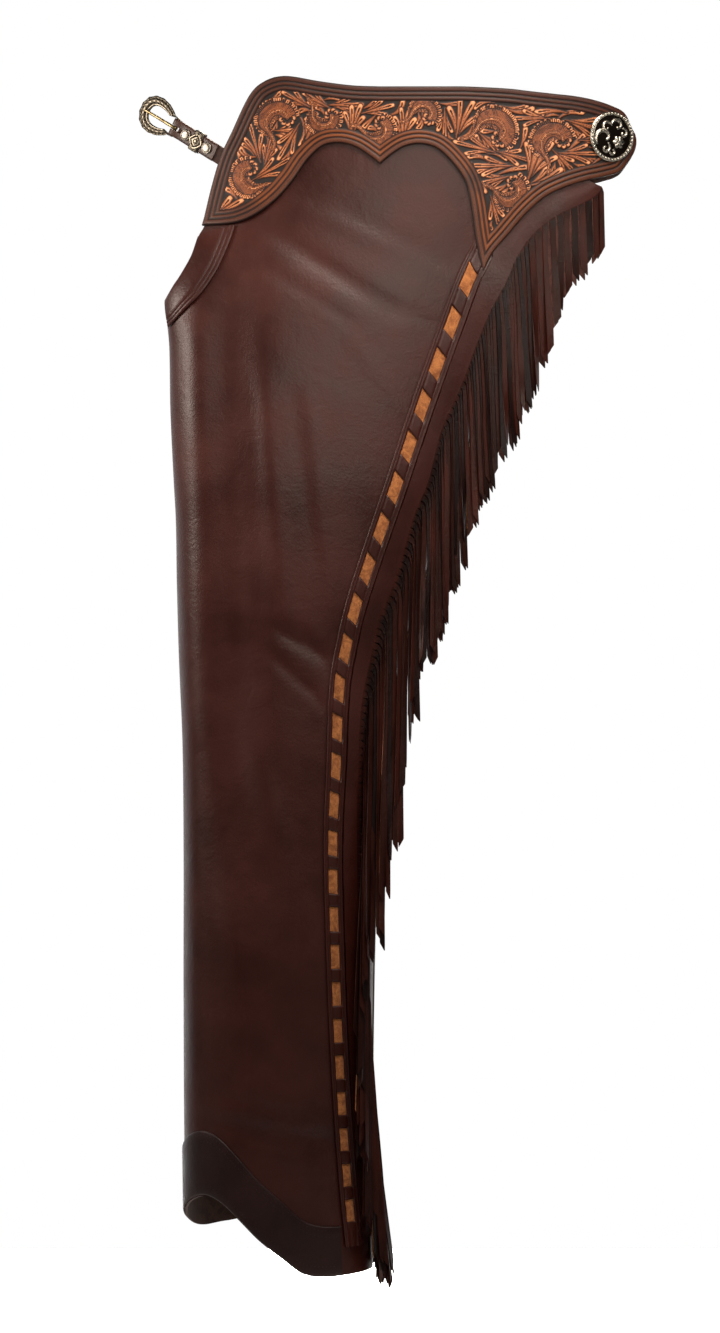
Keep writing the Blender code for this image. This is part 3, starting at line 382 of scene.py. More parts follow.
antiqueBrass = metal("antique_brass_zip", {"dark": "#4A3A26", "light": "#7C6746", "spotMm": 2.5, "rough": 0.4})
conchoSilver = metal("oxidised_cast_silver", {
    "dark": "#A8A498", "light": "#D2CEC2", "spotMm": 2.0, "rough": 0.27}, blackened=True)
buckleSilver = metal("antiqued_buckle_silver", {
    "dark": "#5E584E", "light": "#989080", "spotMm": 1.6, "rough": 0.32}, blackened=True)
waxedThread = plain("waxed_thread", "#1C0E0A", 0.6)[0]
print("materials made")


# ---- meshes
def makePiece(name, verts, faces, materials, body="root", faceMaterial=None, attributes=None, sharp=None):
    mesh = bpy.data.meshes.new(name)
    mesh.from_pydata((np.asarray(verts) * mm).tolist(), [], [list(map(int, f)) for f in faces])
    for material in materials:
        mesh.materials.append(material)
    if faceMaterial is not None:
        mesh.polygons.foreach_set("material_index", np.asarray(faceMaterial, np.int32))
    for key, values in (attributes or {}).items():
        mesh.attributes.new(key, "FLOAT", "POINT").data.foreach_set("value", np.asarray(values, np.float32))
    mesh.shade_smooth()
    if sharp is not None:
        mesh.set_sharp_from_angle(angle=radians(sharp))
    mesh.update()
    piece = bpy.data.objects.new(name, mesh)
    bpy.context.scene.collection.objects.link(piece)
    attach(piece, body)
    return piece


def makePair(base, verts, faces, materials, bodies=None, **more):
    # the right leg's piece is the left one mirrored, with its faces turned back out
    pair = {}
    for side, factor in sides.items():
        placed = np.asarray(verts, float) * (1.0, factor, 1.0)
        turned = faces if factor > 0 else [tuple(reversed(f)) for f in faces]
        body = "root" if bodies is None else bodies[side]
        pair[side] = makePiece(f"{base}_{side}", placed, turned, materials, body, **more)
    return pair


def closedSheet(outer, inner, keep=None):
    # a wall between two grids of points; returns its points, faces and the layer of each face
    rows, columns = outer.shape[:2]
    kept = np.ones((rows - 1, columns - 1), bool) if keep is None else keep
    number = np.arange(rows * columns).reshape(rows, columns)
    shift = rows * columns
    i, j = np.nonzero(kept)
    a, b, c, d = number[i, j], number[i + 1, j], number[i + 1, j + 1], number[i, j + 1]
    faces = np.stack([a, b, c, d], axis=1).tolist()
    layer = [0] * len(faces)
    faces += (np.stack([d, c, b, a], axis=1) + shift).tolist()
    layer += [1] * (len(faces) - len(layer))
    padded = np.pad(kept, 1)
    for di, dj, ends in ((0, -1, (0, 1)), (1, 0, (1, 2)), (0, 1, (2, 3)), (-1, 0, (3, 0))):
        rim = kept & ~padded[1 + di:rows + di, 1 + dj:columns + dj]
        ri, rj = np.nonzero(rim)
        ring = (number[ri, rj], number[ri + 1, rj], number[ri + 1, rj + 1], number[ri, rj + 1])
        p, q = ring[ends[0]], ring[ends[1]]
        faces += np.stack([q, p, p + shift, q + shift], axis=1).tolist()
        layer += [2] * len(p)
    points = np.concatenate([outer.reshape(-1, 3), inner.reshape(-1, 3)])
    used = np.zeros(len(points), bool)
    used[np.unique(np.asarray(faces))] = True
    renumber = np.cumsum(used) - 1
    faces = renumber[np.asarray(faces)].tolist()
    return points[used], faces, np.array(layer)


# ---- leg panels
panel = {"outerColumns": 72, "innerColumns": 52, "rows": 190, "hipRows": 44}


def panelPlaces():
    outerColumns, rows = panel["outerColumns"], panel["rows"]
    columns = outerColumns + panel["innerColumns"]
    column = np.arange(columns + 1)[:, None]
    row = np.arange(rows + 1)[None, :]
    share = column / outerColumns
    frontDrop, rearDrop = outline["front"][0][1], outline["rear"][0][1]
    outerAngle = zipAngle + (180 - zipAngle) * share
    innerAngle = 180 + (180 - zipAngle) * (column - outerColumns) / panel["innerColumns"]
    angle = np.where(column <= outerColumns, outerAngle, innerAngle)
    top = np.where(column <= outerColumns, rearDrop * (1 - share) + frontDrop * share,
                   smoothPairs(outline["innerTop"], angle))
    bottom = smoothPairs(outline["hem"], angle)
    drop = bottom + (top - bottom) * row / rows
    angle = np.broadcast_to(angle, drop.shape)
    rise = np.arange(1, panel["hipRows"] + 1) / panel["hipRows"]
    left, right = alongLine(outline["front"], rise), alongLine(outline["rear"], rise)
    hipShare = np.minimum(share, 1.0)
    leftAngle, rightAngle = angleOf(left[:, 0], left[:, 1]), angleOf(right[:, 0], right[:, 1])
    hipAngle = rightAngle + (leftAngle - rightAngle) * hipShare
    hipDrop = right[:, 1] * (1 - hipShare) + left[:, 1] * hipShare
    centre, reach, *_ = sectionAt(hipDrop)
    waist = smoothPairs(outline["waist"], centre + reach * np.cos(np.radians(hipAngle)))
    hipDrop = hipDrop + rise ** 2 * (waist - (outline["waist"][-1][1] * (1 - hipShare)
                                              + outline["front"][-1][1] * hipShare))
    return np.concatenate([angle, hipAngle], axis=1), np.concatenate([drop, hipDrop], axis=1)


def makeLegPanels():
    angle, drop = panelPlaces()
    keep = np.ones((angle.shape[0] - 1, angle.shape[1] - 1), bool)
    keep[panel["outerColumns"]:, panel["rows"]:] = False
    verts, faces, layer = closedSheet(skin(angle, drop), skin(angle, drop, -leg["wall"]), keep)
    return makePair("legPanel", verts, faces, [chapLeather, fleshSide], faceMaterial=(layer == 1).astype(int),
                    sharp=50)


legPanels = makeLegPanels()
for side, piece in legPanels.items():
    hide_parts(f"leg_panel_{side}")
print("leg panels made")


# ---- yokes: tooled skirting leather with a heart-shaped lower edge
yoke = {
    # the lower edge in runs that meet at corners, and the upper edge over the same runs
    "runs": (
        (((-195, 86), (-166, 84), (-148, 77), (-129, 63), (-114, 46), (-100, 26), (-86, 14), (-71, 12),
          (-57, 16), (-42, 26), (-36, 31)),
         ((-193, 79), (-186, 49), (-178, 22), (-168, 0), (-155, -28), (-146, -40), (-133, -47),
          (-119, -49), (-90, -44), (-60, -40), (-36, -39))),
        (((-36, 31), (-25, 22), (-13, 15), (1, 13), (15, 17), (30, 31), (40, 46), (45, 63), (50, 98),
          (56, 129)),
         ((-36, -39), (-20, -39), (0, -39), (20, -39), (40, -39), (66, -38))),
        (((56, 129), (64, 112), (78, 95), (95, 75), (112, 60), (130, 51), (148, 45), (165, 41), (179, 36),
          (188, 25)),
         ((66, -38), (82, -37), (100, -35), (120, -33), (140, -31), (156, -28), (172, -23), (183, -17),
          (190, -3))),
    ),
    "rearEnd": ((188, 25), (191.5, 19), (193.6, 11), (193.0, 3), (190, -3)),
    "base": 1.3, "thick": 3.0, "border": 13.2, "cell": 0.62, "edgeStep": 0.8,
    # three raised ridges with two cut grooves between them: distance from the rim, height and darkness
    "borderHeight": (
        (0.0, -1.3), (0.5, -0.45), (1.6, 0.0), (3.4, 0.05), (4.4, -0.25), (4.9, -1.0), (5.5, -0.3),
        (6.4, 0.1), (7.6, 0.05), (8.4, -0.3), (8.9, -1.0), (9.5, -0.3), (10.6, 0.1), (11.8, 0.0),
        (12.5, -0.5), (13.2, -1.1), (14.0, -0.9)),
    "borderDark": (
        (0.0, 0.9), (0.8, 0.5), (1.6, 0.2), (3.8, 0.2), (4.4, 0.7), (4.9, 1.0), (5.5, 0.7), (6.2, 0.2),
        (7.8, 0.2), (8.4, 0.7), (8.9, 1.0), (9.5, 0.7), (10.2, 0.2), (11.8, 0.3), (12.6, 0.9), (13.4, 1.0)),
}


def straightPairs(pairs, at):
    return np.interp(at, *zip(*pairs))


def yokeOutline():
    # the closed outline in x and drop, lower edge first, with its corners kept
    lower, upper = [], []
    for low, high in yoke["runs"]:
        for line, kept in ((low, lower), (high, upper)):
            count = max(int(lineLengths(line)[-1] / yoke["edgeStep"]), 4)
            kept.append(alongLine(line, np.arange(count) / count))
    lower.append(np.array([yoke["runs"][-1][0][-1]], float))
    upper.append(np.array([yoke["runs"][-1][1][-1]], float))
    lower, upper = np.concatenate(lower), np.concatenate(upper)
    first = alongLine((tuple(upper[0]), tuple(lower[0])), np.arange(1, 8) / 8)
    last = alongLine(yoke["rearEnd"], np.arange(1, 34) / 34)
    return np.concatenate([lower, last, upper[::-1], first])


def distanceToLine(points, line):
    # distance to a closed line of many short steps
    best = np.full(len(points), 1e9)
    starts, ends = line, np.roll(line, -1, axis=0)
    for a, b in zip(starts, ends):
        run = b - a
        t = np.clip(((points - a) @ run) / max(run @ run, 1e-9), 0, 1)
        away = points - a - t[:, None] * run
        best = np.minimum(best, np.einsum("ij,ij->i", away, away))
    return np.sqrt(best)


def insideLine(points, line):
    inside = np.zeros(len(points), bool)
    for (xa, ya), (xb, yb) in zip(line, np.roll(line, -1, axis=0)):
        crosses = (ya > points[:, 1]) != (yb > points[:, 1])
        with np.errstate(divide="ignore", invalid="ignore"):
            at = xa + (points[:, 1] - ya) * (xb - xa) / (yb - ya)
        inside ^= crosses & (points[:, 0] < at)
    return inside


def flatMesh(line, cell, clear):
    # triangles of the area inside a closed line, its own points first
    low, high = line.min(axis=0), line.max(axis=0)
    x, y = np.meshgrid(np.arange(low[0], high[0], cell), np.arange(low[1], high[1], cell), indexing="ij")
    points = np.stack([x.ravel(), y.ravel()], axis=1)
    points = points[insideLine(points, line)]
    away = distanceToLine(points, line)
    points = points[away > clear]
    every = np.concatenate([line, points])
    ring = [(k, (k + 1) % len(line)) for k in range(len(line))]
    found = geometry.delaunay_2d_cdt([Vector(p) for p in every], ring, [], 1, 1e-5)
    return np.array([tuple(v) for v in found[0]]), [tuple(f) for f in found[2]]


# ---- tooling: carved leaves worked out as a height and a tone on a grid of dots, in millimetres
tooling = {
    "mmPerDot": 0.36, "low": (-206.0, -58.0), "high": (206.0, 138.0),
    "coarse": 3, "fillers": 110, "bareMm": 3.1, "lobeMm": 3.0, "cutShare": 0.40,
    # comma-shaped leaves: centre x and drop, radius, direction of the stem end, sweep (below 0 it turns back)
    "leaves": (
        (-150, 40, 20, 60, 195), (-124, -8, 21, 140, 190), (-84, -13, 17.5, 190, -190),
        (-38, -2, 18, 150, -195), (4, -12, 16.5, 200, 185), (66, 4, 23, 205, 195), (80, 52, 19, 150, -195),
        (122, 12, 22, 140, 190)),
    # sprays of finger petals: root x and drop, middle direction, spread, petals, length, width
    "fans": (
        (-187, 80, -30, 44, 3, 34, 6.4), (-176, 22, -72, 62, 4, 34, 6.2), (-103, 12, -60, 70, 4, 30, 5.8),
        (-62, 6, -80, 64, 4, 30, 5.8), (-16, 12, -84, 60, 4, 34, 5.8), (32, 8, -74, 76, 4, 38, 6.2),
        (46, 30, 84, 50, 3, 38, 6.2), (60, 86, 84, 60, 4, 32, 5.8), (96, 46, -66, 70, 4, 44, 6.6),
        (98, 50, -8, 52, 4, 42, 6.2)),
}


def dotGrid():
    low, high, step = tooling["low"], tooling["high"], tooling["mmPerDot"]
    return [np.arange(low[k], high[k], step) for k in (0, 1)]


class Carving:
    # height over the ground in millimetres and tone from 0 dark to 1 light
    def __init__(self):
        self.xs, self.drops = dotGrid()
        shape = (len(self.xs), len(self.drops))
        self.height = np.zeros(shape)
        self.tone = np.full(shape, 0.04)

    def window(self, points, reach):
        low, high = points.min(axis=0) - reach, points.max(axis=0) + reach
        i = slice(np.searchsorted(self.xs, low[0]), np.searchsorted(self.xs, high[0]))
        j = slice(np.searchsorted(self.drops, low[1]), np.searchsorted(self.drops, high[1]))
        x, drop = np.meshgrid(self.xs[i], self.drops[j], indexing="ij")
        return (i, j), x, drop

    def paint(self, place, mask, height, tone, onGround=False):
        # shapes painted on the ground alone keep a cut line between themselves and what is there already
        if onGround:
            mask = mask & (self.height[place] < 0.01)
        self.height[place] = np.where(mask, height, self.height[place])
        self.tone[place] = np.where(mask, tone, self.tone[place])


def alongStroke(x, drop, line):
    # signed distance to a line (positive on its left) and the share of its length
    lengths = lineLengths(line)
    best = np.full(x.shape, 1e9)
    share = np.zeros(x.shape)
    side = np.ones(x.shape)
    for k in range(len(line) - 1):
        run = line[k + 1] - line[k]
        long = max(np.linalg.norm(run), 1e-9)
        t = np.clip(((x - line[k][0]) * run[0] + (drop - line[k][1]) * run[1]) / long ** 2, 0, 1)
        dx, dy = x - line[k][0] - t * run[0], drop - line[k][1] - t * run[1]
        away = np.hypot(dx, dy)
        nearer = away < best
        best = np.where(nearer, away, best)
        share = np.where(nearer, (lengths[k] + t * long) / lengths[-1], share)
        side = np.where(nearer, np.where(run[0] * dy - run[1] * dx >= 0, 1.0, -1.0), side)
    return best, share, side


def carvePetal(carving, line, width, veined=True):
    # a finger petal: narrow at its root, round at its tip, with a drop-shaped cut near the tip
    place, x, drop = carving.window(line, width)
    away, share, _ = alongStroke(x, drop, line)
    half = width / 2 * np.interp(share, (0, 0.25, 0.6, 0.85, 1), (0.40, 0.58, 0.88, 1.0, 0.92))
    inside = away < half
    near = away / np.maximum(half, 1e-6)
    height = 0.25 + 0.65 * np.sqrt(np.clip(1 - near ** 2, 0, 1))
    tone = 0.36 + 0.34 * np.clip(1 - near, 0, 1) ** 0.7 + 0.36 * share
    rim = (away > half - 0.50) & inside
    tone = np.where(rim, 0.12, tone)
    height = np.where(rim, 0.05, height)
    if veined:
        slit = away < np.interp(share, (0.45, 0.72, 0.90, 0.96), (0.0, 0.25, 0.62, 0.0))
        tone = np.where(slit, 0.10, tone)
        height = np.where(slit, 0.15, height)
    carving.paint(place, inside, height, tone, onGround=True)


def carveFan(carving, root, middle, spread, count, long, width, dice):
    order = sorted(range(count), key=lambda k: abs(k - (count - 1) / 2))
    for k in order:
        turn = (k / max(count - 1, 1) - 0.5) * spread
        start = radians(middle + turn * 0.35)
        end = radians(middle + turn * 1.25)
        reach = long * (1.0 - 0.28 * abs(turn) / max(spread / 2, 1)) * (0.93 + 0.14 * dice.random())
        steps = np.linspace(0, 1, 9)
        heading = start + (end - start) * steps
        run = np.stack([np.cos(heading), np.sin(heading)], axis=1) * reach / 8
        line = np.concatenate([[root], np.array(root) + np.cumsum(run[:-1], axis=0)])
        carvePetal(carving, line, width * (0.9 + 0.2 * dice.random()))


def leafRib(centre, radius, stemAngle, sweep):
    # the leaf's rib curls in; its stem leaves with the opposite turn
    s = np.linspace(0, 1, 44)
    phi = np.radians(stemAngle + sweep * s)
    rho = radius * (0.68 - 0.38 * s ** 1.3)
    rib = np.stack([centre[0] + rho * np.cos(phi), centre[1] + rho * np.sin(phi)], axis=1)
    back = rib[0] - rib[1]
    heading = atan2(back[1], back[0]) + np.radians(55) * np.sign(sweep) * np.linspace(0, 1, 10) ** 1.5
    steps = np.stack([np.cos(heading), np.sin(heading)], axis=1) * radius * 0.085
    return np.concatenate([(rib[0] + np.cumsum(steps, axis=0))[::-1], rib])


def carveLeaf(carving, centre, radius, stemAngle, sweep):
    # a comma-shaped leaf: a doubled rib, cut hatching on both sides of it and a rim of lobes with slits
    rib = leafRib(centre, radius, stemAngle, sweep)
    outSide = -1.0 if sweep > 0 else 1.0
    place, x, drop = carving.window(rib, radius)
    away, share, side = alongStroke(x, drop, rib)
    outer = side == outSide
    grow = np.clip((share - 0.14) / 0.42, 0, 1)
    grow = grow * grow * (3 - 2 * grow)
    reach = radius * np.where(outer, 0.08 + 0.52 * grow, 0.07 + 0.34 * grow)
    run = share * lineLengths(rib)[-1]
    # a lobe's pitch along the rib is shorter outside the curl than inside it
    pitch = tooling["lobeMm"] * np.where(outer, 0.62, 1.35)
    lobeAt = (run / pitch) % 1.0 - 0.5
    depth = np.clip(4.6 / np.maximum(reach, 4.6), 0.2, 0.62)
    near = away / reach
    rimShare = 1 - depth * (1 - np.sqrt(np.clip(1 - (2 * lobeAt) ** 2, 0, 1))) * 0.55
    body = (near < rimShare) & (share < 0.999)
    inRim = near > 1 - depth
    slit = inRim & (abs(lobeAt) < 0.13) & (near < 1 - depth * 0.35)
    between = inRim & (abs(lobeAt) > 0.40)
    edge = near > rimShare - 0.5 / reach
    hatch = ~inRim & ((run / pitch * 2 + near * 0.9) % 1.0 < tooling["cutShare"]) & (near > 0.2)
    seam = abs(near - (1 - depth)) * reach < 0.30
    dark = slit | between | edge | hatch | seam
    raised = np.where(inRim, 1.0 - 0.2 * abs(lobeAt), 0.84 - 0.2 * near)
    tone = np.where(dark, np.where(hatch, 0.40, 0.06), raised)
    height = np.where(dark, np.where(hatch, 0.32, 0.12), np.where(inRim, 0.88, 0.74 - 0.3 * near))
    carving.paint(place, body, height, tone)
    ahead = rib[-1] - rib[-2]
    middle = atan2(ahead[1], ahead[0])
    for turn in np.radians((-80, -40, 0, 40, 80)):
        way = np.array([cos(middle + turn), sin(middle + turn)])
        lobe(carving, rib[-1] + way * radius * 0.27, way, 2.7)
    place, x, drop = carving.window(rib, 2.5)
    away = alongStroke(x, drop, rib)[0]
    tone = np.where(away < 0.42, 1.0, np.where(away < 0.85, 0.06, np.where(away < 1.5, 0.92, 0.08)))
    carving.paint(place, away < 1.85, np.where(tone > 0.5, 0.95, 0.15), tone)


def lobe(carving, centre, outward, size):
    place, x, drop = carving.window(np.array([centre]), size + 0.5)
    away = np.hypot(x - centre[0], drop - centre[1])
    near = away / size
    height = 0.25 + 0.65 * np.sqrt(np.clip(1 - near ** 2, 0, 1))
    tone = np.where(near > 0.76, 0.10, 0.98 - 0.2 * near)
    # the punched eye lies towards the leaf
    eyeX, eyeDrop = x - centre[0] + outward[0] * size * 0.40, drop - centre[1] + outward[1] * size * 0.40
    hole = np.hypot(eyeX, eyeDrop) < size * 0.30
    carving.paint(place, away < size, np.where(hole, 0.05, height), np.where(hole, 0.03, tone))


def fillGaps(carving, field, dice):
    # the widest bare spot gets a petal, or a spray where it is wide, along its longest clear run; and so on
    step = tooling["coarse"]
    dot = tooling["mmPerDot"] * step
    hubs = np.array([leaf[:2] for leaf in tooling["leaves"]], float)
    for _ in range(tooling["fillers"]):
        free = (carving.height[::step, ::step] < 0.01) & field
        depth = np.zeros(free.shape)
        core = free
        while core.any():
            depth += core
            shrunk = core.copy()
            for turn, axis in ((1, 0), (-1, 0), (1, 1), (-1, 1)):
                shrunk &= np.roll(core, turn, axis)
            core = shrunk
        spot = np.unravel_index(np.argmax(depth), depth.shape)
        wide = depth[spot] * dot
        if wide < tooling["bareMm"]:
            break
        at = np.array([carving.xs[spot[0] * step], carving.drops[spot[1] * step]])
        turns = np.radians(np.arange(0, 360, 15))
        ways = np.stack([np.cos(turns), np.sin(turns)], axis=1)
        reach = np.zeros(len(ways))
        for k, way in enumerate(ways):
            while reach[k] < 17:
                probe = at + way * (reach[k] + 1)
                i, j = int((probe[0] - carving.xs[0]) / dot), int((probe[1] - carving.drops[0]) / dot)
                if not free[min(i, free.shape[0] - 1), min(j, free.shape[1] - 1)]:
                    break
                reach[k] += 1
        both = reach + np.roll(reach, len(ways) // 2)
        k = int(np.argmax(both))
        way, ahead, back = ways[k], reach[k], reach[(k + len(ways) // 2) % len(ways)]
        root, tip = at - way * back, at + way * ahead
        if np.linalg.norm(hubs - tip, axis=1).min() < np.linalg.norm(hubs - root, axis=1).min():
            root, tip, way = tip, root, -way
        long = max(ahead + back, 4.0)
        if wide > 5.5:
            carveFan(carving, root, degrees(atan2(way[1], way[0])), 46, 3, long + 3, 5.0, dice)
            carvePetal(carving, np.linspace(root, tip, 5), 3.0)
        else:
            across = np.array([-way[1], way[0]]) * (dice.random() - 0.5) * 0.8 * long
            t = np.linspace(0, 1, 7)[:, None]
            bent = root + (tip - root) * t + across * t * (1 - t) * 2
            carvePetal(carving, bent, min(6.0, max(3.6, 1.6 * wide)), long > 7)


def carveAll(field):
    carving = Carving()
    dice = np.random.default_rng(3)
    for x, drop, radius, stemAngle, sweep in tooling["leaves"]:
        carveLeaf(carving, (x, drop), radius, stemAngle, sweep)
    for x, drop, middle, spread, count, long, width in tooling["fans"]:
        carveFan(carving, (x, drop), middle, spread, count, long, width, dice)
    fillGaps(carving, field, dice)
    ground = carving.height < 0.01
    speck = dice.random(carving.height.shape)
    carving.height += np.where(ground, -0.12 * speck, 0)
    carving.tone += np.where(ground, 0.10 * (speck > 0.75), 0)
    return carving


def carvedField(line):
    # where the tooling goes: inside the border, on the coarse dots that the gaps are filled on
    xs, drops = (values[::tooling["coarse"]] for values in dotGrid())
    x, drop = np.meshgrid(xs, drops, indexing="ij")
    points = np.stack([x.ravel(), drop.ravel()], axis=1)
    inside = insideLine(points, line[::3]) & (distanceToLine(points, line[::3]) > yoke["border"])
    return inside.reshape(x.shape)


def sampled(values, points):
    # the grid's values at places between its dots
    low, step = np.array(tooling["low"]), tooling["mmPerDot"]
    place = (points - low) / step
    i = np.clip(place.astype(int), 0, np.array(values.shape) - 2)
    t = np.clip(place - i, 0, 1)
    corner = lambda a, b: values[i[:, 0] + a, i[:, 1] + b]
    return ((corner(0, 0) * (1 - t[:, 0]) + corner(1, 0) * t[:, 0]) * (1 - t[:, 1])
            + (corner(0, 1) * (1 - t[:, 0]) + corner(1, 1) * t[:, 0]) * t[:, 1])


def turnedOut(points, faces, side):
    # faces all wound so that they look along the given direction
    a, b, c = (points[faces[:, k]] for k in (0, 1, 2))
    away = np.einsum("ij,j->i", np.cross(b - a, c - a), side)
    turned = faces.copy()
    turned[away < 0] = turned[away < 0][:, ::-1]
    return turned


def makeYokes():
    line = yokeOutline()
    front, frontFaces = flatMesh(line, yoke["cell"], 0.35)
    back, backFaces = flatMesh(line, 7.0, 2.5)
    away = distanceToLine(front, line[::2])
    carving = carveAll(carvedField(line))
    field = away > yoke["border"]
    height = np.where(field, sampled(carving.height, front) - 0.95, straightPairs(yoke["borderHeight"], away))
    tone = np.where(field, sampled(carving.tone, front), 1 - straightPairs(yoke["borderDark"], away))
    # the border is burnt rust along the lower edge and dark brown along the waist and the front
    lowerEnd = sum(max(int(lineLengths(low)[-1] / yoke["edgeStep"]), 4) for low, _ in yoke["runs"])
    toLower = distanceToLine(front, line[:lowerEnd:2])
    toUpper = distanceToLine(front, line[lowerEnd:-1:2])
    rust = np.clip((toUpper - toLower) / 10 + 0.35, 0.12, 1.0) * np.interp(away, (3.5, 6.0), (0.35, 1.0))
    dye = np.where(field, 1.0, 0.5 * rust)
    count, ring = len(front), len(line)
    verts = np.concatenate([skinAt(front[:, 0], front[:, 1], yoke["base"] + yoke["thick"] + height),
                            skinAt(back[:, 0], back[:, 1], yoke["base"]),
                            skinAt(line[:, 0], line[:, 1], yoke["base"] + 0.9)])
    outward = np.array((0.0, -1.0, 0.0))
    frontFaces = turnedOut(verts, np.array(frontFaces), outward)
    backFaces = turnedOut(verts, np.array(backFaces) + count, -outward)
    turn = 1 if (line[:, 0] * np.roll(line[:, 1], -1) - np.roll(line[:, 0], -1) * line[:, 1]).sum() > 0 else -1
    wall = []
    for k in range(ring):
        n, mid, low = (k + 1) % ring, count + len(back), count
        wall += [(k, n, mid + n, mid + k)[::turn], (mid + k, mid + n, low + n, low + k)[::turn]]
    faces = frontFaces.tolist() + backFaces.tolist() + wall
    kind = [0] * len(frontFaces) + [1] * len(backFaces) + [0] * len(wall)
    rest = len(back) + ring
    print("yoke", len(faces) + len(wall), "triangles")
    return makePair("tooledYoke", verts, faces, [tooledLeather, fleshSide], faceMaterial=kind,
                    attributes={"tone": np.concatenate([tone, np.full(rest, 0.25)]),
                                "dye": np.concatenate([dye, np.full(rest, 0.1)])})


yokes = makeYokes()
for side, piece in yokes.items():
    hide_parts(f"yoke_{side}")
print("yokes made")


# ---- sewing thread: small spindles laid in rows along a line of places
thread = {"long": 2.7, "pitch": 3.5, "half": 0.38, "rise": 0.30}


def stitchRow(line, liftAt):
    # the line holds places on a surface and the surface's normals there
    verts, faces = [], []
    places, normals = line
    lengths = lineLengths(places)
    marks = np.arange(thread["pitch"] / 2, lengths[-1] - thread["long"] / 2, thread["pitch"])
    at = lambda s, values: np.stack([np.interp(s, lengths, values[:, k]) for k in range(3)], axis=-1)
    for mark in marks:
        start, end = at(mark - thread["long"] / 2, places), at(mark + thread["long"] / 2, places)
        normal = at(mark, normals)
        run = (end - start) / np.linalg.norm(end - start)
        across = np.cross(normal, run)
        base = len(verts)
        middle = (start + end) / 2 + normal * (liftAt + thread["rise"])
        verts += [start + normal * (liftAt - 0.3), end + normal * (liftAt - 0.3), middle,
                  middle - normal * thread["rise"] * 0.9 + across * thread["half"],
                  middle - normal * thread["rise"] * 0.9 - across * thread["half"]]
        faces += [(base, base + 3, base + 2), (base, base + 2, base + 4), (base + 1, base + 2, base + 3),
                  (base + 1, base + 4, base + 2), (base, base + 4, base + 3), (base + 1, base + 3, base + 4)]
    return verts, faces


def onSkin(angles, drops):
    return skin(angles, drops), normalAt(angles, drops)


def joined(pieces):
    verts, faces = [], []
    for some, more in pieces:
        faces += [tuple(k + len(verts) for k in f) for f in more]
        verts += list(some)
    return np.array(verts), faces


def insetLine(line, away):
    # a closed line moved inwards, with the loops that this makes at corners left out
    line = np.asarray(line, float)
    run = np.roll(line, -1, axis=0) - np.roll(line, 1, axis=0)
    run /= np.maximum(np.linalg.norm(run, axis=1, keepdims=True), 1e-9)
    area = (line[:, 0] * np.roll(line[:, 1], -1) - np.roll(line[:, 0], -1) * line[:, 1]).sum()
    inward = np.stack([-run[:, 1], run[:, 0]], axis=1) * (1 if area > 0 else -1)
    moved = line + inward * away
    return moved[distanceToLine(moved, line) > away - 0.25]


def makeYokeThread():
    line = insetLine(yokeOutline(), 2.3)
    line = np.concatenate([line, line[:1]])
    places = onSkin(angleOf(line[:, 0], line[:, 1]), line[:, 1])
    makePair("yokeThread", *joined([stitchRow(places, yoke["base"] + yoke["thick"] - 0.05)]), [waxedThread])


makeYokeThread()
print("yoke thread made")


# ---- fringe: one piece of leather sewn under the yoke and the lace band and cut into strands
fringe = {
    "spacing": 6.5, "most": 9.5, "thick": 0.9, "lean": 0.145, "level": 3.3, "tuck": 0.65, "bandTop": 108.0,
    "bottom": 1048.0,
    # share of the lean that goes back instead of outwards, and the strands' lengths, both against the drop
    "leanSide": ((50, 0.2), (85, 1.1), (150, 1.2), (330, 0.1), (700, 0.0), (860, 1.2)),
    "length": (
        (50, 55), (61, 59), (67, 66), (78, 97), (93, 130), (127, 142), (165, 138), (210, 136), (253, 152),
        (280, 160), (310, 156), (360, 146), (390, 180), (417, 225), (440, 262), (520, 240), (745, 235),
        (850, 190), (900, 148), (950, 100), (995, 62)),
    "falls": (0.0, 0.025, 0.06, 0.12, 0.2, 0.32, 0.45, 0.6, 0.75, 0.88, 0.95, 1.0),
    "missing": 0.02, "underFirst": 17, "underEvery": 4, "underShare": 0.60, "underLevel": 1.5,
    "reach": 34.0, "tip": 7.0,
    # how much longer or shorter an under strand is than the one over it
    "underExtra": (-26.0, -16.0, -22.0, -12.0, -30.0, -6.0, -18.0),
    # painted shade: share of the dye colour against a near-black shade on a strand, strand after strand, some
    # kept dark as if in shadow behind others; and down its first stretches, darkest at the top where the cut
    # opens into a shaded slit
    "paintedStrandShade": (1.0, 0.45, 0.85, 0.2, 1.0, 0.7, 0.3, 0.95, 0.55, 0.12, 0.9), "slit": (0.35, 0.6, 0.85, 1.0),
}
# how a strand hangs: the least and the random part of each measure, in millimetres, radians or shares
strandHang = {
    "straight": 6.0,          # strands next to the waist that hang straight, side by side
    "steepFrom": 150, "steepOver": 250, "spreadFrom": 850, "spreadOver": 60, "spread": 9.0,
    "swing": (0.5, 7.0), "sway": (5.0, 4.0), "calm": 0.66, "calmTwist": 0.8, "wildTwist": 2.8,
    "sink": 6.0, "curl": 0.5, "late": (0.25, 0.4), "half": (0.92, 0.12), "waist": (0.04, 0.28),
    "slant": 0.72, "bend": (3.0, 9.0), "bendMost": 0.35, "tipWidth": 0.14,
}


def rootShares(spacing, most):
    # places down the root line where a cut starts; wider apart where the line lies flatter
    fine = np.linspace(0, 1, 800)
    line = alongLine(outline["root"], fine)
    run = np.gradient(line, axis=0)
    flat = abs(run[:, 0]) / np.linalg.norm(run, axis=1)
    step = np.clip(spacing / np.maximum(flat, 0.05), spacing * 0.98, most)
    step = np.where(flat < 0.62, spacing * 0.98, step)
    walked = np.concatenate([[0], np.cumsum(np.linalg.norm(np.diff(line, axis=0), axis=1) / step[1:])])
    return np.interp(np.arange(int(walked[-1]) + 1), walked, fine)


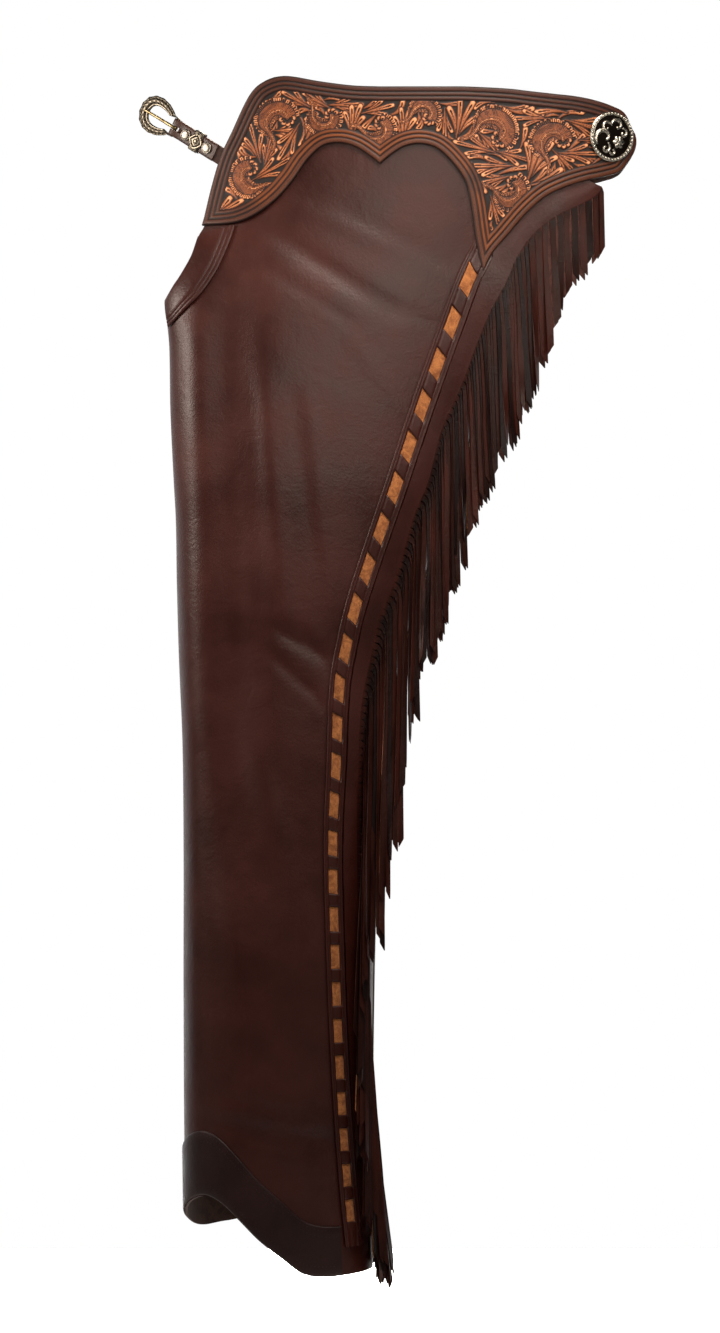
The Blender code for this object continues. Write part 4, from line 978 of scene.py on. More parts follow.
def rootAxes(share):
    # root point, tangent round the leg, level outward normal and direction of the root line
    place = alongLine(outline["root"], share)
    x, drop = place[..., 0], place[..., 1]
    angle = angleOf(x, drop)
    root = surfaceAt(angle, drop)
    normal = normalAt(angle, drop).copy()
    normal[..., 2] = 0.0
    normal /= np.linalg.norm(normal, axis=-1, keepdims=True)
    tangent = np.stack([-normal[..., 1], normal[..., 0], np.zeros_like(normal[..., 0])], axis=-1)
    ends = []
    for step in (0.002, -0.002):
        near = alongLine(outline["root"], np.clip(share + step, 0, 1))
        ends.append(surfaceAt(angleOf(near[..., 0], near[..., 1]), near[..., 1]))
    run = ends[0] - ends[1]
    line = np.stack([(run * tangent).sum(-1), run[..., 2]], axis=-1)
    line /= np.linalg.norm(line, axis=-1, keepdims=True)
    return root, tangent, normal, line, x, drop


def stripRows(shares, level):
    # the uncut margin: from under the yoke or beside the lace band out to the ends of the cuts
    root, _, normal, _, x, drop = rootAxes(shares)
    ahead = np.gradient(np.stack([x, drop], axis=1), axis=0)
    ahead /= np.linalg.norm(ahead, axis=1, keepdims=True)
    inward = np.stack([-ahead[:, 1], ahead[:, 0]], axis=1)
    inward *= np.where(inward[:, :1] > 0, -1, 1)
    reaches = np.arange(0, fringe["reach"], 0.5)
    probes = np.stack([x, drop], axis=1)[:, None, :] + inward[:, None, :] * reaches[None, :, None]
    flatProbes = probes.reshape(-1, 2)
    underYoke = insideLine(flatProbes, yokeOutline()[::4]).reshape(probes.shape[:2])
    px, pd = flatProbes.T
    bandEdge = xOnLine(outline["band"], pd) + smoothPairs(outline["bandHalf"], pd) + 1.0
    byBand = ((pd > fringe["bandTop"]) & (px < bandEdge)).reshape(probes.shape[:2])
    stop = underYoke | byBand
    stop[:, -1] = True
    first = np.argmax(stop, axis=1)
    tucked = underYoke[np.arange(len(x)), first].astype(float)
    inner = np.stack([x, drop], axis=1) + inward * (reaches[first] + 3.0 * tucked)[:, None]
    tucked = np.convolve(np.pad(tucked, 2, mode="edge"), np.ones(5) / 5, mode="valid")
    rows = []
    for u in (0.0, 0.25, 0.5, 0.75, 1.0):
        px = inner[:, 0] + (x - inner[:, 0]) * u
        pd = inner[:, 1] + (drop - inner[:, 1]) * u
        rise = np.clip((u - 0.30) / 0.45, 0, 1)
        low = fringe["tuck"] + (level - fringe["tuck"]) * rise * rise * (3 - 2 * rise)
        here = level + (low - level) * tucked
        if u == 1.0:
            rows.append(root + normal * level)
        else:
            rows.append(skinAt(px, pd, here))
    return np.stack(rows, axis=1), normal


def strandRings(axes, k, width, level, long, dice, share=1.0):
    root, tangent, normal, line, _, drop = (a[k] for a in axes)
    hang = strandHang
    some = lambda name, share: hang[name][0] + hang[name][1] * share
    steep = float(np.clip((drop - hang["steepFrom"]) / hang["steepOver"], 0, 1))
    early = min(k / hang["straight"], 1.0)
    outward = np.array([-line[1], line[0]])
    swing = some("swing", dice.random() ** 1.2) * steep
    spread = float(np.clip((drop - hang["spreadFrom"]) / hang["spreadOver"], 0, 1)) * hang["spread"]
    sway = early * ((dice.random() - 0.5) * (some("sway", steep) + spread) - spread / 3)
    twist = (dice.random() - 0.5) * hang["calmTwist" if dice.random() < hang["calm"] else "wildTwist"] * early
    sink = hang["sink"] * dice.random() * early
    curl = (dice.random() - 0.5) * hang["curl"] * early
    late = some("late", dice.random())
    drift = normal * (float(smoothPairs(fringe["leanSide"], drop)), 1.0, 1.0)
    half = min(width, fringe["spacing"] * 1.08) / 2 * some("half", dice.random())
    waist = 1.0 - some("waist", dice.random()) * early
    slant = 1 if dice.random() < hang["slant"] else -1
    first = min(some("bend", steep) + swing, long * hang["bendMost"])
    falls = np.append(long * np.array(fringe["falls"]) * (1 - fringe["tip"] / long), long)
    rings = []
    at = np.zeros(2)
    before, lastFall = outward, 0.0
    for fall in falls[1:]:
        t = fall / long
        turn = min(fall / first, 1.0)
        bend = turn * turn * (3 - 2 * turn)
        heading = outward * (1 - bend) + np.array([0.0, -1.0]) * bend
        heading /= np.linalg.norm(heading)
        at = at + (heading + before) / 2 * (fall - lastFall)
        before, lastFall = heading, fall
        across = np.array([-heading[1], heading[0]])
        spin = twist * max(0.0, (t - late) / (1 - late)) + curl * sin(4 * t) * bend
        # a strand is narrower where the knife wandered, and its end is cut on the slant
        narrow = hang["tipWidth"] if fall == long else 1.0 - (1.0 - waist) * sin(pi * min(t * 1.7, 1.0)) ** 0.7
        reach = half * narrow
        sideAxis = tangent * across[0] + np.array((0, 0, across[1]))
        widthAxis = sideAxis * cos(spin) + normal * sin(spin)
        faceAxis = normal * cos(spin) - sideAxis * sin(spin)
        x = at[0] + sway * t ** 1.4
        centre = (root + tangent * x + np.array((0, 0, at[1])) + normal * (level - sink * bend * t)
                  - drift * fringe["lean"] * at[1] + widthAxis * slant * (half - reach))
        thick = fringe["thick"] / 2 * (1 if fall < long else 0.5)
        rings.append(corners(centre, widthAxis * reach * share, faceAxis * thick))
    return rings


def corners(centre, edge, thick):
    return [centre - edge + thick, centre + edge + thick, centre + edge - thick, centre - edge - thick]


def hangStrand(verts, faces, loop, rings):
    # walls from a loop of four points down through the rings, then the cap at the tip
    for ring in rings:
        following = list(range(len(verts), len(verts) + 4))
        verts += ring
        faces += [(loop[c], loop[c - 3], following[c - 3], following[c]) for c in range(4)]
        loop = following
    faces.append(tuple(loop))


def strandWidths(shares, axes):
    root = rootAxes(shares)[0]
    return np.linalg.norm(np.diff(root, axis=0), axis=1) * np.clip(abs(axes[3][:, 0]) / 0.86, 0.8, 1.0)


def strandDice(k):
    # each strand has its own numbers, so that the suede beneath can follow the strand over it
    return np.random.default_rng(2100 + k)


def strandLength(drop, dice):
    long = float(smoothPairs(fringe["length"], drop)) * (1 + 0.13 * (dice.random() - 0.5))
    return min(long, fringe["bottom"] - 14 * dice.random() - drop)


rootPlaces = rootShares(fringe["spacing"], fringe["most"])
strandAxes = rootAxes((rootPlaces[1:] + rootPlaces[:-1]) / 2)
strandWide = strandWidths(rootPlaces, strandAxes)


def makeUpperFringe():
    shares, axes = rootPlaces, strandAxes
    strip, normals = stripRows(shares, fringe["level"])
    half = normals[:, None, :] * fringe["thick"] / 2
    count, across = len(shares), strip.shape[1]
    verts = list((strip + half).reshape(-1, 3)) + list((strip - half).reshape(-1, 3))
    faces, kind = [], []
    under = count * across
    for k in range(count - 1):
        for u in range(across - 1):
            a, b = k * across + u, (k + 1) * across + u
            faces += [(a, a + 1, b + 1, b), (under + b, under + b + 1, under + a + 1, under + a)]
            kind += [2, 1]
        a, b = k * across, (k + 1) * across
        faces.append((a, b, under + b, under + a))
        kind.append(0)
    for k, order in ((0, -1), (count - 1, 1)):
        for u in range(across - 1):
            a = k * across + u
            faces.append((a, a + 1, under + a + 1, under + a)[::order])
            kind.append(0)
    # painted shade in the tone attribute: the uncut margin keeps its full colour, while each strand is darkened
    # by its own share
    tone = [1.0] * len(verts)
    for k in range(count - 1):
        dice = strandDice(k)
        shade = fringe["paintedStrandShade"][(7 * k + 3 * (k // 5)) % len(fringe["paintedStrandShade"])]
        if dice.random() < fringe["missing"] and 150 < axes[5][k] < 950:
            continue                       # a strand is missing here and the suede beneath shows
        long = strandLength(axes[5][k], dice)
        rings = strandRings(axes, k, strandWide[k], fringe["level"], long, dice)
        for r in range(len(rings)):
            # painted shade: darker still on the first rings, where the slit at the top of the cut would lie in
            # shadow
            tone += [shade * fringe["slit"][min(r, len(fringe["slit"]) - 1)]] * 4
        kind += [0, 0, 1, 0] * len(rings) + [0]
        a, b = k * across + across - 1, (k + 1) * across + across - 1
        hangStrand(verts, faces, [b, a, under + a, under + b], rings)
    print("upper fringe", count - 1, "strands", len(faces), "faces")
    return makePair("upperFringe", verts, faces, [fringeLeather, fringeFlesh, chapLeather],
                    faceMaterial=kind, attributes={"tone": tone}, sharp=40)


def makeUnderFringe():
    axes = strandAxes
    verts, faces = [], []
    for k in range(fringe["underFirst"], len(strandWide), fringe["underEvery"]):
        dice = strandDice(k)
        if dice.random() < fringe["missing"] or axes[5][k] > 985:
            continue
        long = strandLength(axes[5][k], dice)
        long = max(long + fringe["underExtra"][k % len(fringe["underExtra"])], 0.7 * long)
        rings = strandRings(axes, k, strandWide[k], fringe["underLevel"], long, dice, fringe["underShare"])
        root, tangent, normal, line = (a[k] for a in axes[:4])
        widthAxis = tangent * -line[0] + np.array((0, 0, -line[1]))
        thick, half = normal * fringe["thick"] / 2, widthAxis * fringe["spacing"] * 0.46
        loop = list(range(len(verts), len(verts) + 4))
        verts += corners(root + normal * fringe["underLevel"], half, thick)
        faces.append(tuple(reversed(loop)))
        hangStrand(verts, faces, loop, rings)
    print("under fringe", len(faces), "faces")
    return makePair("underFringe", verts, faces, [rustSuede], sharp=40)


for side, piece in makeUpperFringe().items():
    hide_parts(f"fringe_{side}")
for side, piece in makeUnderFringe().items():
    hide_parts(f"fringe_under_{side}")
print("fringes made")


# ---- lace band over the side seam, with cut windows and rust suede beneath
laceBand = {
    "base": 1.9, "thick": 1.7, "top": 104.0, "topSlant": 6.2, "bottom": 1003.0,
    # the band sinks at its top to pass under the yoke
    "dive": ((104, -2.6), (112, -2.4), (128, 0)),
    "windows": 25, "first": 136.0, "last": 971.0, "pitchChange": 0.09,
    "height": ((0, 21), (12, 22.5), (24, 20)), "slant": ((0, 6.2), (10, 5), (16, 0.6), (24, 0.3)),
    # share of the half width and height against the band's face
    "profile": (
        (-1.0, -0.9), (-0.98, -0.25), (-0.9, 0.0), (-0.82, -0.02), (-0.78, -0.30), (-0.74, -0.02),
        (-0.66, 0.0), (-0.56, -0.1), (-0.515, -0.35), (-0.50, -0.9), (-0.25, -0.15), (0.0, -0.1),
        (0.25, -0.15), (0.50, -0.9), (0.515, -0.35), (0.56, -0.1), (0.64, 0.0), (0.70, -0.30),
        (0.74, -0.02), (0.80, -0.3), (0.84, -0.1), (0.91, 0.35), (0.97, -0.05), (1.0, -0.9)),
    "suedeGap": 0.9, "suedeThick": 0.7, "suedeShare": 0.66,
}
windowKeys = np.arange(laceBand["windows"])


def bandPlace(drop, across):
    # angle and drop of a place at a share of the band's half width from its centre line
    slope = (xOnLine(outline["band"], drop + 1) - xOnLine(outline["band"], drop - 1)) / 2
    side = smoothPairs(outline["bandHalf"], drop) * across
    scale = np.hypot(1.0, slope)
    down = drop - side * slope / scale
    return angleOf(xOnLine(outline["band"], drop) + side / scale, down), down


def windowPlaces():
    # centre, half height and slant of each window
    share = windowKeys / (laceBand["windows"] - 1)
    centres = (laceBand["first"] + (laceBand["last"] - laceBand["first"])
               * (share + laceBand["pitchChange"] * share * (1 - share)))
    return list(zip(centres, smoothPairs(laceBand["height"], windowKeys) / 2,
                    smoothPairs(laceBand["slant"], windowKeys)))


def makeLaceBand():
    shares, heights = (np.array(column) for column in zip(*laceBand["profile"]))
    # rows across the band: drop, slant and how far the row lies below the face; then whether a window follows
    rows = [(top, laceBand["topSlant"], -0.5 if top == laceBand["top"] else 0.0)
            for top in np.linspace(laceBand["top"], laceBand["first"] - 15, 4)]
    inWindow = [False] * 3
    for centre, half, slant in windowPlaces():
        rows += [(centre + half * share + more, slant, edge) for share, more, edge in (
            (-1, -2.0, 0.0), (-1, -0.6, -0.1), (-1, 0, -0.7), (-1 / 3, 0, 0.0), (1 / 3, 0, 0.0), (1, 0, -0.7),
            (1, 0.6, -0.1), (1, 2.0, 0.0))]
        inWindow += [False] * 3 + [True] * 3 + [False] * 2
    rows.append((laceBand["bottom"], 0.0, -0.5))
    inWindow.append(False)
    drops = np.array([[centre + slant * s for s in shares] for centre, slant, _ in rows])
    angle, down = bandPlace(drops, shares[None, :])
    rise = np.array([heights + edge * (abs(shares) < 0.6) for _, _, edge in rows])
    rise[0], rise[-1] = np.minimum(rise[0], -0.6), np.minimum(rise[-1], -0.6)
    first, last = np.nonzero(abs(shares) == 0.5)[0]
    for r, (_, _, edge) in enumerate(rows):      # the bridges between windows are flat across
        if edge == 0.0 and not (r and inWindow[r - 1]):
            rise[r, [first, last]] = -0.12
        if edge == -0.1:
            rise[r, [first, last]] = -0.25
    face = laceBand["base"] + laceBand["thick"]
    keep = np.ones((len(rows) - 1, len(shares) - 1), bool)
    keep[np.array(inWindow), first:last] = False
    dive = straightPairs(laceBand["dive"], down)
    outer = skin(angle, down, face + rise + dive)
    inner = skin(angle, down, laceBand["base"] + 0.6 * dive)
    verts, faces, _ = closedSheet(outer[:, ::-1], inner[:, ::-1], keep[:, ::-1])
    pieces = makePair("laceBand", verts, faces, [chapLeather], sharp=60)
    threads = []
    for share in (-0.78, 0.70):
        angle, down = bandPlace(np.arange(laceBand["top"] + 8, laceBand["bottom"] - 3, 1.5), share)
        places, normals = onSkin(angle, down)
        dive = straightPairs(laceBand["dive"], down)
        threads.append(stitchRow((places + normals * dive[:, None], normals), face - 0.28))
    makePair("laceBandThread", *joined(threads), [waxedThread])
    return pieces


def makeLace():
    drops = np.arange(laceBand["top"] + 16, laceBand["bottom"] - 14, 1.6)
    shares = np.linspace(-laceBand["suedeShare"], laceBand["suedeShare"], 11)
    grid = np.broadcast_to(drops[:, None], (len(drops), len(shares)))
    angle, down = bandPlace(grid, shares[None, :])
    bulge = np.zeros(grid.shape)
    for centre, half, slant in windowPlaces():
        near = (grid - centre - slant * shares[None, :]) / half
        bulge = np.maximum(bulge, np.clip(1 - near ** 2, 0, 1) ** 0.6)
    bulge *= np.clip(1 - (shares[None, :] / 0.52) ** 2, 0, 1) ** 0.5
    nap = np.random.default_rng(8).random(grid.shape) * 0.12
    top = skin(angle, down, laceBand["suedeGap"] + laceBand["suedeThick"] + 0.95 * bulge + nap)
    verts, faces, _ = closedSheet(top[:, ::-1], skin(angle, down, laceBand["suedeGap"])[:, ::-1])
    return makePair("lace", verts, faces, [rustSuede])


for side, piece in makeLaceBand().items():
    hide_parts(f"lace_band_{side}")
for side, piece in makeLace().items():
    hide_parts(f"lace_{side}")
print("lace bands made")


# ---- overlay round the hem
hemBand = {"base": 0.5, "thick": 1.4, "inset": 1.0, "start": 975.0,
           "height": ((0, 44), (60, 45), (90, 52), (130, 58), (180, 58), (270, 52), (360, 44)),
           # rows of stitches: below the overlay's top edge, and above its bottom edge
           "stitchLines": (4.0, 9.5), "hemLine": 8.0}


def makeHemBand():
    first = bandPlace(np.array(hemBand["start"]), -1.0 - hemBand["inset"] / 7.0)[0]
    angles = np.concatenate([np.linspace(float(first), 180, 70), np.linspace(180, 351, 56)[1:]])
    bottom = smoothPairs(outline["hem"], angles) - hemBand["inset"]
    top = smoothPairs(outline["hem"], angles) - smoothPairs(hemBand["height"], angles)
    shares = np.array([0.0, 0.012, 0.03, 0.15, 0.3, 0.5, 0.7, 0.85, 0.97, 0.988, 1.0])
    rise = np.interp(shares, (0, 0.012, 0.03, 0.97, 0.988, 1.0), (-0.9, -0.3, 0.0, 0.0, -0.3, -0.9))
    downs = bottom[:, None] + (top - bottom)[:, None] * shares[None, :]
    wide = np.broadcast_to(angles[:, None], downs.shape)
    face = hemBand["base"] + hemBand["thick"]
    verts, faces, _ = closedSheet(skin(wide, downs, face + rise[None, :]), skin(wide, downs, hemBand["base"]))
    pieces = makePair("hemBand", verts, faces, [hemLeather], sharp=60)
    lines = [top + away for away in hemBand["stitchLines"]] + [bottom - hemBand["hemLine"]]
    threads = [stitchRow(onSkin(angles[1:-1], line[1:-1]), face) for line in lines]
    makePair("hemThread", *joined(threads), [waxedThread])
    return pieces


for side, piece in makeHemBand().items():
    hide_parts(f"hem_band_{side}")


# ---- facing on the thigh's front edge, from the yoke to the crotch
thighEdge = {
    "base": 1.3, "thick": 1.4, "inset": 1.2, "grooves": (0.12, 0.24),
    # share of the way from the seam to the edge, and height against the face
    "profile": (
        (0.0, -0.8), (0.02, -0.2), (0.06, 0.0), (0.10, 0.0), (0.12, -0.45), (0.14, 0.0), (0.19, 0.05),
        (0.22, 0.0), (0.24, -0.45), (0.26, 0.0), (0.4, 0.05), (0.55, 0.05), (0.7, 0.03), (0.85, 0.0),
        (0.96, -0.2), (1.0, -0.8)),
}


def makeThighEdge():
    steps = np.linspace(0, 1, 40)
    shares, rise = (np.array(column) for column in zip(*thighEdge["profile"]))
    seam = alongLine(outline["thighSeam"], steps)
    edge = alongLine(outline["front"][:5], steps)
    seamAngle = angleOf(seam[:, 0], seam[:, 1])
    edgeAngle = angleOf(edge[:, 0] + thighEdge["inset"], edge[:, 1])
    place = lambda share: (seamAngle[:, None] + (edgeAngle - seamAngle)[:, None] * share,
                           seam[:, 1:] + (edge[:, 1:] + thighEdge["inset"] - seam[:, 1:]) * share)
    wide, down = place(shares)
    face = thighEdge["base"] + thighEdge["thick"]
    outer, inner = skin(wide, down, face + rise), skin(wide, down, thighEdge["base"])
    verts, faces, _ = closedSheet(outer[::-1], inner[::-1])
    pieces = makePair("thighEdge", verts, faces, [chapLeather], sharp=60)
    threads = [stitchRow(onSkin(*(grid[:, 0] for grid in place(share))), face - 0.42)
               for share in thighEdge["grooves"]]
    makePair("thighEdgeThread", *joined(threads), [waxedThread])
    return pieces


for side, piece in makeThighEdge().items():
    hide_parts(f"thigh_edge_{side}")
print("hem and thigh bands made")


# ---- metal fittings: made in a frame of their own and put in place
class Seat:
    # an origin with axes, in millimetres
    def __init__(self, origin, xAxis, zAxis):
        self.origin = np.asarray(origin, float)
        z = np.asarray(zAxis, float) / np.linalg.norm(zAxis)
        y = np.cross(z, xAxis)
        y /= np.linalg.norm(y)
        self.axes = np.stack([np.cross(y, z), y, z])

    def put(self, points):
        return self.origin + np.asarray(points, float) @ self.axes


def stacked(rings, ends=True, closed=False):
    # a skin over rings that all have the same number of points
    rings = [np.asarray(r, float) for r in rings]
    n = len(rings[0])
    verts = np.concatenate(rings)
    faces = []
    last = len(rings) if closed else len(rings) - 1
    for r in range(last):
        a, b = r * n, ((r + 1) % len(rings)) * n
        faces += [(a + k, a + (k + 1) % n, b + (k + 1) % n, b + k) for k in range(n)]
    if ends and not closed:
        faces.append(tuple(reversed(range(n))))
        top = (len(rings) - 1) * n
        faces.append(tuple(range(top, top + n)))
    return verts, faces


def circle(radius, height, count, centre=(0, 0)):
    a = np.arange(count) * 2 * pi / count
    x, y = centre
    return np.stack([x + radius * np.cos(a), y + radius * np.sin(a), np.full(count, height)], axis=1)


def bead(centre, radius, rise, height):
    return stacked([circle(radius * cos(t), rise * sin(t) + height, 8, centre)
                    for t in (0.0, 0.5, 1.0, 1.45)])


def chamfered(cornerX, cornerY):
    # a square from -1 to 1 with its corners cut
    quarter = ((-1, -cornerY), (-cornerX, -1), (cornerX, -1), (1, -cornerY))
    return quarter + tuple((-x, -y) for x, y in quarter)


def outwardSheet(verts, faces, layer, way):
    # a sheet's faces turned over where its outer layer looks against the given way
    a, b, c = (verts[k] for k in faces[int(np.argmax(layer == 0))][:3])
    return faces if np.cross(b - a, c - a) @ way > 0 else [tuple(reversed(f)) for f in faces]


# concho: a cast rim of beads round an oxidised ground with raised scrolls
concho = {
    "place": (170.0, 5.0), "lift": 5.3, "radius": 22.5, "beads": 40, "ground": 19.0, "cell": 0.42,
    # turned edge from the ground out to the rim and round to the back: radius and height
    "edge": ((19.0, 1.5), (19.3, 2.0), (19.5, 2.3), (21.9, 1.6), (22.5, 0.9), (21.6, 0.0), (11.25, 0.0)),
    "edgeSteps": 120,
    # scrolls: centre x and y, radius, start angle, sweep, width
    "scrolls": (
        (-8.0, -1.0, 9.6, 215, -255, 2.9), (-6.0, 8.5, 5.4, 20, 290, 2.2), (5.5, 10.0, 6.4, 175, -285, 2.4),
        (-7.0, -10.5, 5.0, 60, -290, 2.0), (11.5, 3.0, 4.4, 100, -300, 1.9), (0.5, -13.5, 3.4, 170, 280, 1.7)),
    "petals": 6, "flower": (6.5, -5.0, 5.8),
}


def conchoRelief(points):
    height = np.zeros(len(points))
    bright = np.zeros(len(points))
    x, y = points[:, 0], points[:, 1]
    for cx, cy, radius, start, sweep, width in concho["scrolls"]:
        s = np.linspace(0, 1, 26)
        a = np.radians(start + sweep * s)
        r = radius * (1 - 0.72 * s)
        line = np.stack([cx + r * np.cos(a), cy + r * np.sin(a)], axis=1)
        away, share, _ = alongStroke(x, y, line)
        swell = 0.55 + 0.75 * np.sin(pi * np.clip(share, 0.05, 1)) ** 0.6
        half = width / 2 * swell + 0.35 * (share > 0.93)
        on = away < half
        rounded = np.sqrt(np.clip(1 - (away / half) ** 2, 0, 1)) + 0.25
        height = np.where(on, np.maximum(height, rounded), height)
        bright = np.where(on, 1.0, bright)
    cx, cy, radius = concho["flower"]
    angle, reach = np.arctan2(y - cy, x - cx), np.hypot(x - cx, y - cy)
    edge = radius * (0.72 + 0.28 * abs(np.cos(angle * concho["petals"] / 2)))
    on = reach < edge
    dome = 0.4 + 0.9 * np.sqrt(np.clip(1 - (reach / edge) ** 2, 0, 1)) - 0.3 * (abs(np.sin(angle * 3)) > 0.93)
    height = np.where(on, dome, height)
    bright = np.where(on, 1.0, bright)
    return height, bright


def makeConcho():
    x, drop = concho["place"]
    angle = float(angleOf(x, drop))
    seat = Seat(skin(angle, drop, concho["lift"]), (1, 0, 0), normalAt(angle, drop))
    ground, radius, cell = concho["ground"], concho["radius"], concho["cell"]
    count = concho["edgeSteps"]
    rim = circle(ground, 0, count)[:, :2]
    gx, gy = np.meshgrid(np.arange(-ground, ground, cell), np.arange(-ground, ground, cell), indexing="ij")
    inner = np.stack([gx.ravel(), gy.ravel()], axis=1)
    inner = inner[np.hypot(inner[:, 0], inner[:, 1]) < ground - 0.4]
    points = np.concatenate([rim, inner])
    found = geometry.delaunay_2d_cdt([Vector(p) for p in points], [(k, (k + 1) % count) for k in range(count)],
                                     [], 1, 1e-5)
    flat = np.array([tuple(v) for v in found[0]])
    relief, bright = conchoRelief(flat)
    dome = 1.5 + 0.9 * (1 - (np.hypot(flat[:, 0], flat[:, 1]) / ground) ** 2)
    relief[:count] = 0
    disc = np.column_stack([flat, dome + relief])
    edge, edgeFaces = stacked([circle(reach, height, count) for reach, height in concho["edge"]], ends=False)
    edgeFaces.append(tuple(range(len(edge) - count, len(edge))))
    beads = [bead((radius - 1.6) * place[:2], 1.45, 1.2, 1.7) for place in circle(1.0, 0.0, concho["beads"])]
    discFaces = turnedOut(disc, np.array(found[2]), (0, 0, 1)).tolist()
    verts, faces = joined([(disc, discFaces), (edge, edgeFaces), *beads])
    tone = np.concatenate([bright, np.ones(len(verts) - len(disc))])
    return makePair("engravedConcho", seat.put(verts), faces, [conchoSilver], attributes={"tone": tone},
                    sharp=50)


for side, piece in makeConcho().items():
    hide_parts(f"concho_{side}")
print("conchos made")


# buckle strap with a bar, a buckle, its prong, two screws and a keeper
strap = {"origin": (-221.499, -17.232, 5.042), "x": (-0.743, 0.465, 0.482), "z": (-0.531, -0.847, 0.0),
         "width": 16.0, "ply": 1.6, "free": 63.0, "hidden": 22.0, "bar": 1.5, "slot": 2.1,
         "screws": (-15.0, -40.5), "screwRadius": 5.2, "keeper": -27.8}
strapSeat = Seat(strap["origin"], strap["x"], strap["z"])


def makeBuckleStrap():
    ply, inside = strap["ply"], strap["bar"] + 0.4
    outside = inside + ply
    tail = strap["free"] - 13.0
    path = [((x, 0.2 + ply), (x, 0.2)) for x in np.linspace(-tail, -9, 12)]
    path += [((-4.0, 0.5 + inside), (-4.0, 0.5 + inside - ply))]
    for a in np.radians(90 - 20 * np.arange(10)):
        way = np.array((cos(a), sin(a)))
        path.append((outside * way, inside * way))
    path += [((-4.0, -0.5 - inside), (-4.0, ply - inside - 0.5))]
    path += [((x, -0.2 - ply), (x, -0.2)) for x in np.linspace(-9, -strap["free"] - strap["hidden"], 16)]
    half = strap["width"] / 2
    side = np.array((half, half - 0.4, half - 2.2, strap["slot"]))
    ys = np.concatenate([-side, side[::-1]])
    low = np.array((0.45, 0.08, 0, 0, 0, 0, 0.08, 0.45))
    outer, inner = [], []
    for (ox, oz), (ix, iz) in path:
        way = np.array((ox - ix, oz - iz)) / np.hypot(ox - ix, oz - iz)
        outer.append([(ox - way[0] * d, y, oz - way[1] * d) for y, d in zip(ys, low)])
        inner.append([(ix, y, iz) for y in ys])
    keep = np.ones((len(path) - 1, len(ys) - 1), bool)
    keep[11:-16, 3] = False
    verts, faces, layer = closedSheet(strapSeat.put(outer), strapSeat.put(inner), keep)
    piece = makePiece("buckleStrapLeather", verts, faces, [strapLeather, fleshSide],
                      faceMaterial=(layer == 1).astype(int), sharp=50)
    rows = []
    for y in (-half + 1.9, half - 1.9):
        for x0, x1, z in ((-tail + 2, -33.5, 0.2 + ply), (-22, -9, 0.2 + ply),
                          (-strap["free"] + 2, -tail - 2, -0.2)):
            places = strapSeat.put([(x0, y, z), (x1, y, z)])
            rows.append(stitchRow((places, np.tile(strapSeat.axes[2], (2, 1))), 0.0))
    makePiece("buckleStrapThread", *joined(rows), [waxedThread])
    return piece


piece = makeBuckleStrap()
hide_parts("buckle_strap")

buckle = {"long": 42.0, "wide": 36.0, "thick": 2.6, "steps": 96, "barSteps": 10, "scallops": 15}


def makeBuckle():
    steps, bar = buckle["steps"], buckle["barSteps"]
    loops, tones = [], []
    for k in range(bar, steps - bar):
        a = 2 * pi * (k + 0.5) / steps
        far = (1 - cos(a)) / 2
        wave = abs(sin(a * buckle["scallops"] / 2)) * 0.9 * far
        outer = np.array((buckle["long"] * far, -buckle["wide"] / 2 * sin(a) * (0.82 + 0.30 * far)))
        heading = np.array((outer[0] - buckle["long"] * 0.52, outer[1]))
        heading /= np.linalg.norm(heading)
        wide = 5.4 + 5.1 * far ** 0.8
        rise = buckle["thick"] * (0.75 + 0.35 * far)
        cut = 0.45 * (0.5 + 0.5 * cos(a * 30))
        leaf = 0.5 + 0.5 * cos(a * 22 + 1.2)
        ring = []
        # from the rim inwards: share of the width, share of the rise, depth cut away, tone
        for share, high, carved, tone in (
                (0.0, -0.35, 0, 0.1), (0.0, 0.15, 0, 0.3), (0.05, 0.42, 0, 1.0),
                (0.13, 0.36, 0.5 * cut, 1 - 2 * cut), (0.24, 0.30, 0, 0.0), (0.36, 0.62, 0.5 * leaf, 1 - leaf),
                (0.50, 0.66, 0.3 * (1 - leaf), leaf), (0.64, 0.62, 0.5 * leaf, 1 - leaf), (0.76, 0.30, 0, 0.0),
                (0.86, 0.38, 0, 1.0), (0.95, 0.30, 0, 0.9), (1.0, 0.1, 0, 0.3), (1.0, -0.35, 0, 0.1)):
            at = outer - heading * (wide * share + wave * (1 - share))
            ring.append((at[0], at[1], high * rise - carved))
            tones.append(tone)
        loops.append(ring)
    count = len(loops[0])
    barHalf = strap["width"] / 2 + 1.0
    turns = np.radians(np.linspace(200, -160, count, endpoint=False))
    for y in (barHalf, -barHalf):
        loops.append([(strap["bar"] * cos(t), y, strap["bar"] * sin(t)) for t in turns])
    tones += [0.6] * (2 * count)
    verts, faces = stacked(loops, closed=True)
    return makePiece("engravedBuckle", strapSeat.put(verts), [f[::-1] for f in faces], [buckleSilver], "buckle",
                     attributes={"tone": tones}, sharp=60)


piece = makeBuckle()
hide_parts("buckle")


def makeProng():
    thick, half = 1.1, 1.5
    radius = strap["bar"] + 0.25 + thick / 2
    spine = [((radius * cos(a), radius * sin(a)), (cos(a), sin(a)), half)
             for a in np.radians((-30, -55, -80, -105, -130, -155, -180, 155, 130, 105))]
    spine += [((x, z), (0.0, 1.0), wide) for x, z, wide in (
        (3.0, radius + 0.1, 1.5), (8.0, 2.75, 1.5), (14.0, 2.9, 1.4), (21.0, 3.3, 1.35), (28.0, 3.7, 1.3),
        (32.5, 3.85, 1.1), (34.5, 3.9, 0.7))]
    rings = []
    for (x, z), (nx, nz), wide in spine:
        rings.append([(x + nx * h * thick / 2, y * wide, z + nz * h * thick / 2) for y, h in
                      ((-1, -1), (1, -1), (1.0, 0.2), (0.75, 0.8), (0, 1.0), (-0.75, 0.8), (-1.0, 0.2))])
    verts, faces = stacked(rings)
    return makePiece("prongTongue", strapSeat.put(verts), faces, [brass], "prong", sharp=60)


